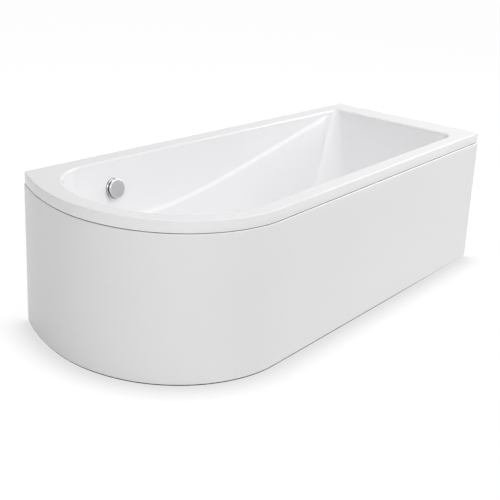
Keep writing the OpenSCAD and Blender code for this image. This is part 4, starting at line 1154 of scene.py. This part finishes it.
@dataclass
class Pipework:
    """Ribbed overflow hose and the fluted union nuts on it and on the trap."""

    x: float = OVERFLOW_AT[0]
    y: float = 0.343258
    top: float = 0.378695
    low: float = 0.08
    bend: float = 0.05
    end_y: float = 0.072
    outer: float = 0.016
    inner: float = 0.013
    pitch: float = 0.0042
    rib: float = 0.0014
    rib_steps: int = 6
    bore_steps: int = 60
    cuff: float = 0.022
    hose_columns: int = 40
    hose_sharp: float = 60.0
    nut: float = 0.02
    nut_long: float = 0.016
    nut_bevel: float = 0.0012
    nut_soft: float = 0.0004
    nut_steps: int = 4
    nut_columns: int = 216
    trap_z: float = 0.051
    trap_nut: Point = (0.028, 0.024, 0.02)
    trap_high: Pair = (0.012, 0.01)
    trap_bevel: float = 0.0015
    flutes: int = 18
    flute: float = 0.0011
    flute_within: float = 0.002

    def route(self, s: Array) -> tuple[Array, Array]:
        """Middle line of the hose: straight down, a quarter circle, then straight to the waste.

        Args:
            s: distances along the line from its top.

        Returns:
            The points, and at each the direction across the line that stays in the line's plane.
        """
        drop = self.top - self.low - self.bend
        turn = np.clip((s - drop) / self.bend, 0.0, QUARTER)
        over = np.maximum(s - drop - self.bend * QUARTER, 0.0)
        y = self.y - self.bend * (1.0 - np.cos(turn)) - over
        z = self.top - np.minimum(s, drop) - self.bend * np.sin(turn)
        return (np.stack([np.full_like(s, self.x), y, z], axis=-1),
                np.stack([np.zeros_like(s), np.cos(turn), np.sin(turn)], axis=-1))

    def tube(self, s: Array, radius: Number) -> Array:
        """Rings of the given radius about the route, a turn of which goes from X to the side direction."""
        points, side = self.route(s)
        a = around(self.hose_columns)[None, :, None]
        across = np.cos(a) * np.array([1.0, 0.0, 0.0]) + np.sin(a) * side[:, None, :]
        return points[:, None, :] + np.broadcast_to(radius, s.shape)[:, None, None] * across

    def hose(self) -> Array:
        """Grid of the hose: its radius is outer less rib times (1 + cos(2 pi s / pitch)) / 2 between the cuffs."""
        whole = self.top - self.low - self.bend + self.bend * QUARTER + self.y - self.bend - self.end_y
        s = np.linspace(0.0, whole, int(whole / self.pitch * self.rib_steps))
        inside = smooth((np.minimum(s, whole - s) - self.cuff) / self.pitch)
        wave = 0.5 + 0.5 * np.cos(TURN * s / self.pitch)
        skin = self.tube(s, self.outer - self.rib * wave * inside)
        bore = self.tube(np.linspace(whole, 0.0, self.bore_steps), self.inner)
        return np.concatenate([skin, bore])[::-1]

    def fluted(self, a: Array, r: Array) -> Array:
        """Radius with flutes on the outer skin: each is a groove along the axis, cos to the fourth in section."""
        groove = (0.5 + 0.5 * np.cos(self.flutes * a)) ** 4
        return np.where(r > r.max() - self.flute_within, r - self.flute * groove, r)

    def build(self, palette: Palette) -> None:
        """Makes the hose and the three nuts."""
        hose = Surface.loops("overflow_hose_ribbed", [self.hose()], self.hose_sharp)
        palette.fit(hose, "bath", Look.HOSE, "overflow_hose")
        n, i, h, e = self.nut, self.outer, self.nut_long, self.nut_bevel
        union = [[i, 0.0], [n - e, 0.0], [n, e], [n, h - e], [n - e, h], [i, h]]
        (o, b, t), (high, step), f = self.trap_nut, self.trap_high, self.trap_bevel
        cap = [[b, 0.0], [o - e, 0.0], [o, e], [o, high - f], [o - f, high], [t, high], [t, step], [b, step]]
        for name, stand, corners in (
                ("hose_nut_top", Stand((self.x, self.y, self.top - h)), union),
                ("hose_nut_bottom", Stand((self.x, self.end_y + h, self.low), QUARTER), union),
                ("trap_nut", Stand((*WASTE_AT[:2], self.trap_z)), cap)):
            section = soften(corners, self.nut_soft, self.nut_steps)
            grid = stand.turned(section, self.nut_columns, self.fluted)
            palette.fit(Surface.loops(name + "_fluted", [grid]), "bath", Look.FITTING, name)


# ------------------------------------------------------------------ feet

@dataclass
class Feet:
    """Threaded studs, chamfered lock nuts and soft-edged pads of the five feet."""

    rails: Pair = (-0.3, 0.33)
    front_inset: float = 0.13
    back_inset: float = 0.15
    centre: Pair = (0.04, 0.03)
    stud: float = 0.005
    stud_low: float = 0.008
    stud_high: float = 0.112
    centre_high: float = 0.0915
    stud_point: float = 0.0012
    stud_columns: int = 24
    pitch: float = 0.0015
    pitch_steps: int = 4
    thread: float = 0.0008
    flats: float = 0.017
    nut_high: float = 0.008
    nut_bore: float = 0.00505
    nut_lead: float = 0.0008
    nut_columns: int = 96
    chamfer_at: tuple[float, ...] = (0.0, 0.0003, 0.0006, 0.001, 0.0014)
    chamfer_from: float = 0.98
    chamfer_slope: float = 1.7
    rail_nuts: Pair = (0.1, 0.0895)
    centre_nuts: Pair = (0.0775, 0.067)
    pad: float = 0.022
    pad_high: float = 0.012
    pad_brim: float = 0.004
    pad_top: float = 0.01
    pad_soft: float = 0.0012
    pad_steps: int = 6
    pad_columns: int = 72
    axis_gap: float = 0.0005
    stud_sharp: float = 80.0
    pad_sharp: float = 50.0
    nut_sharp: float = 30.0

    def places(self) -> dict[str, Pair]:
        """Plan of each foot by name."""
        rim, found = Outline(), {}
        for side, x in zip(("left", "right"), self.rails):
            found[side + "_front"] = (x, float(rim.front_y(x, self.front_inset)))
            found[side + "_back"] = (x, rim.wall_y - self.back_inset)
        return {**found, "centre": self.centre}

    def screw(self, at: Pair, high: float) -> Array:
        """Rings of a threaded rod.

        The radius at angle a and height z is stud less thread times the triangle wave of z / pitch - a / 2 pi, and
        near each end it is held under a cone of 45 degrees.
        """
        z = np.linspace(self.stud_low, high, int((high - self.stud_low) / self.pitch * self.pitch_steps))[:, None]
        a = around(self.stud_columns)[None, :]
        wave = np.abs(2.0 * ((z / self.pitch - a / TURN) % 1.0) - 1.0)
        cone = self.stud - self.stud_point + np.minimum(z - self.stud_low, high - z)
        return spun(at, np.minimum(self.stud - self.thread * wave, cone), a, z)

    def nut(self, at: Pair, low: float) -> Array:
        """Grid of a six-sided nut.

        A hexagon's radius at angle a is half the flats over cos((a mod 60) - 30), and the chamfers hold it under a
        cone that starts at the inscribed circle on both faces.
        """
        h, half, lead = self.nut_high, self.flats / 2, self.nut_lead
        near = np.array(self.chamfer_at)
        z = np.concatenate([near, [0.5 * h], h - near[::-1]])[:, None]
        a = around(self.nut_columns)[None, :]
        hexagon = half / np.cos((a % (TURN / 6)) - TURN / 12)
        cone = self.chamfer_from * half + self.chamfer_slope * np.minimum(z, h - z)
        bore = np.repeat(self.nut_bore + np.array([[lead], [0.0], [0.0], [lead]]), self.nut_columns, axis=1)
        heights = np.concatenate([z, [[h], [h - lead], [lead], [0.0]]])
        return spun(at, np.concatenate([np.minimum(hexagon, cone), bore]), a, low + heights)

    def build(self, palette: Palette) -> None:
        """Makes the studs, pads and nuts."""
        p, h, g, s, low = self.pad, self.pad_high, self.axis_gap, self.stud, self.stud_low
        foot = soften([[g, 0.0], [p, 0.0], [p, self.pad_brim], [self.pad_top, h], [s, h], [s, low], [g, low]],
                      self.pad_soft, self.pad_steps, False)
        nuts = []
        for name, at in self.places().items():
            middle = name == "centre"
            rod = self.screw(at, self.centre_high if middle else self.stud_high)
            stud = Surface.skin(f"stud_{name}_threaded", rod, self.stud_sharp)
            palette.fit(stud, f"foot_{name}", Look.ZINC, f"stud_{name}")
            disc = Stand((*at, 0.0)).turned(foot, self.pad_columns)
            pad = Surface.skin(f"pad_{name}_soft", disc, self.pad_sharp)
            palette.fit(pad, f"foot_{name}", Look.FOOT, f"pad_{name}")
            nuts += [self.nut(at, level) for level in (self.centre_nuts if middle else self.rail_nuts)]
        palette.fit(Surface.loops("lock_nuts_chamfered", nuts, self.nut_sharp), "bath", Look.ZINC, "lock_nuts")


# ------------------------------------------------------------------ studio

@dataclass(frozen=True)
class Lamp:
    """Rectangular soft lamp: its middle, its width and height, and its power in watts."""

    name: str
    at: Point
    size: Pair
    power: float

    def build(self, aim: Point) -> None:
        """Makes the lamp and points it at a place."""
        data = bpy.data.lights.new(self.name, "AREA")
        data.shape, data.size, data.size_y, data.energy = "RECTANGLE", *self.size, self.power
        made = linked(self.name, data)
        made.location = self.at
        made.rotation_euler = (Vector(aim) - Vector(self.at)).to_track_quat("-Z", "Y").to_euler()


LAMPS = (
    Lamp("front_high", (1.2, -3.6, 3.4), (3.0, 2.4), 29.0),
    Lamp("left_front", (-3.4, -2.6, 3.0), (2.0, 1.6), 63.0),
    Lamp("left_low", (-4.2, -0.7, 0.9), (2.0, 1.4), 21.0),
    Lamp("above", (0.6, -1.6, 4.0), (2.4, 2.0), 60.0),
    Lamp("right", (4.0, -0.8, 2.4), (2.4, 2.0), 76.0),
    Lamp("behind", (-0.2, 4.0, 2.9), (3.0, 1.6), 24.0),
)


@dataclass
class Studio:
    """Pale floor, white surroundings, soft lamps and the camera."""

    aim: Point = (0.0, 0.0, 0.3)
    ambient: float = 0.14
    floor_half: float = 30.0
    floor_matt: float = 0.86
    floor_glow: float = 0.975
    floor_lit: float = 0.054
    # painted shadow on the floor: reach, bend and samples of the darkening near the object, then of the dark gap
    # below it
    painted_shade_reach: float = 0.125
    painted_shade_bend: float = 0.55
    painted_shade_samples: int = 12
    painted_gap_reach: float = 0.6
    painted_gap_range: Pair = (0.2, 0.46)
    painted_gap_samples: int = 32
    lens: float = 75.262
    sensor: float = 36.0
    far: float = 200.0
    eye: Point = (-2.77598, -2.24578, 1.45518)
    azimuth: float = math.radians(49.666)
    elevation: float = math.radians(19.897)
    roll: float = math.radians(2.7025)

    def seen(self, graph: Graph) -> Socket:
        """1 for camera, glossy and transmission rays, 0 for the rest."""
        path = graph.add("LightPath").outputs
        first = graph.maths("MAXIMUM", path["Is Camera Ray"], path["Is Glossy Ray"])
        return graph.maths("MAXIMUM", first, path["Is Transmission Ray"])

    def surroundings(self) -> None:
        """World: white where it is seen, softer where it lights."""
        world = bpy.data.worlds.new("surroundings")
        bpy.context.scene.world = world
        world.use_nodes = True
        graph, nodes, white = Graph(world.node_tree), world.node_tree.nodes, (1.0, 1.0, 1.0, 1.0)
        light = graph.feed(nodes["Background"], {"Color": white, "Strength": self.ambient}).outputs[0]
        plain = graph.add("Background", {"Color": white, "Strength": 1.0}).outputs[0]
        blend = graph.add("MixShader", {0: self.seen(graph), 1: light, 2: plain}).outputs[0]
        graph.feed(nodes["World Output"], {"Surface": blend})

    def floor(self) -> None:
        """Large pale floor with a painted shadow round the object's foot.

        Where it is seen, it glows as c n^b: n is the open share of the sky over it within the shade's reach, b the
        shade's bend, and c falls to 0 where the object covers most of the sky within the gap's reach. That paints a
        soft shade round the object's foot and a dark gap below it. A small part of the lamps' light is added.
        """
        h = self.floor_half
        corners = np.array([[-h, -h, 0.0], [h, -h, 0.0], [h, h, 0.0], [-h, h, 0.0]])
        made = Surface.build("floor", corners, [[0, 1, 2, 3]], 30.0)
        material = bpy.data.materials.new("floor_painted_shadow")
        material.use_nodes = True
        graph, nodes = Graph(material.node_tree), material.node_tree.nodes
        nodes.remove(nodes["Principled BSDF"])
        # painted shadow: the floor's glow is darkened where ambient occlusion finds the object near, down to black
        # in the gap below it
        near, wide = (graph.add("AmbientOcclusion", {"Distance": reach}, samples=samples).outputs["AO"]
                      for reach, samples in ((self.painted_shade_reach, self.painted_shade_samples),
                                             (self.painted_gap_reach, self.painted_gap_samples)))
        painted_gap_share = graph.spread(wide, self.painted_gap_range, (0.0, self.floor_glow), interpolation_type="SMOOTHSTEP")
        strength = graph.maths("MULTIPLY", graph.maths("POWER", near, self.painted_shade_bend), painted_gap_share)
        matt, dim = (graph.add("BsdfDiffuse", {"Color": (level, level, level, 1.0)}).outputs[0]
                     for level in (self.floor_matt, self.floor_lit))
        glow = graph.add("Emission", {"Strength": strength}).outputs[0]
        both = graph.add("AddShader", {0: glow, 1: dim}).outputs[0]
        blend = graph.add("MixShader", {0: self.seen(graph), 1: matt, 2: both}).outputs[0]
        graph.feed(nodes["Material Output"], {"Surface": blend})
        made.data.materials.append(material)

    def camera(self) -> None:
        """Camera at the photograph's place, with its small roll."""
        ce, se = math.cos(self.elevation), math.sin(self.elevation)
        ahead = Vector((math.sin(self.azimuth) * ce, math.cos(self.azimuth) * ce, -se))
        right = ahead.cross(Vector((0.0, 0.0, 1.0))).normalized()
        up = right.cross(ahead)
        cr, sr = math.cos(self.roll), math.sin(self.roll)
        across, above = right * cr + up * sr, up * cr - right * sr
        data = bpy.data.cameras.new("view")
        data.lens, data.sensor_width, data.clip_end = self.lens, self.sensor, self.far
        made = linked("view", data)
        made.matrix_world = Matrix.Translation(self.eye) @ Matrix((across, above, -ahead)).transposed().to_4x4()
        bpy.context.scene.camera = made

    def build(self) -> None:
        """Sets up everything round the object."""
        self.surroundings()
        self.floor()
        for lamp in LAMPS:
            lamp.build(self.aim)
        self.camera()
        bpy.context.scene.view_settings.view_transform = "Standard"
        log.info("studio set")


# ------------------------------------------------------------------ order of work

def dress_frame(palette: Palette) -> None:
    """Gives every carried-over node the finish of its slot in the record."""
    for part in frame["record"]["subparts"]:
        palette.dress(frame["nodes"][part["node"]], Look(part["material_slot"]))


def main() -> None:
    """Builds the bath's pieces in order, dresses them and sets the studio."""
    palette = Palette()
    dress_frame(palette)
    for group in (BathShell(), FrontPanel(), OverflowSet(), WasteSet(), Pipework(), Feet()):
        group.build(palette)
    Studio().build()


if __name__ == "__main__":
    main()
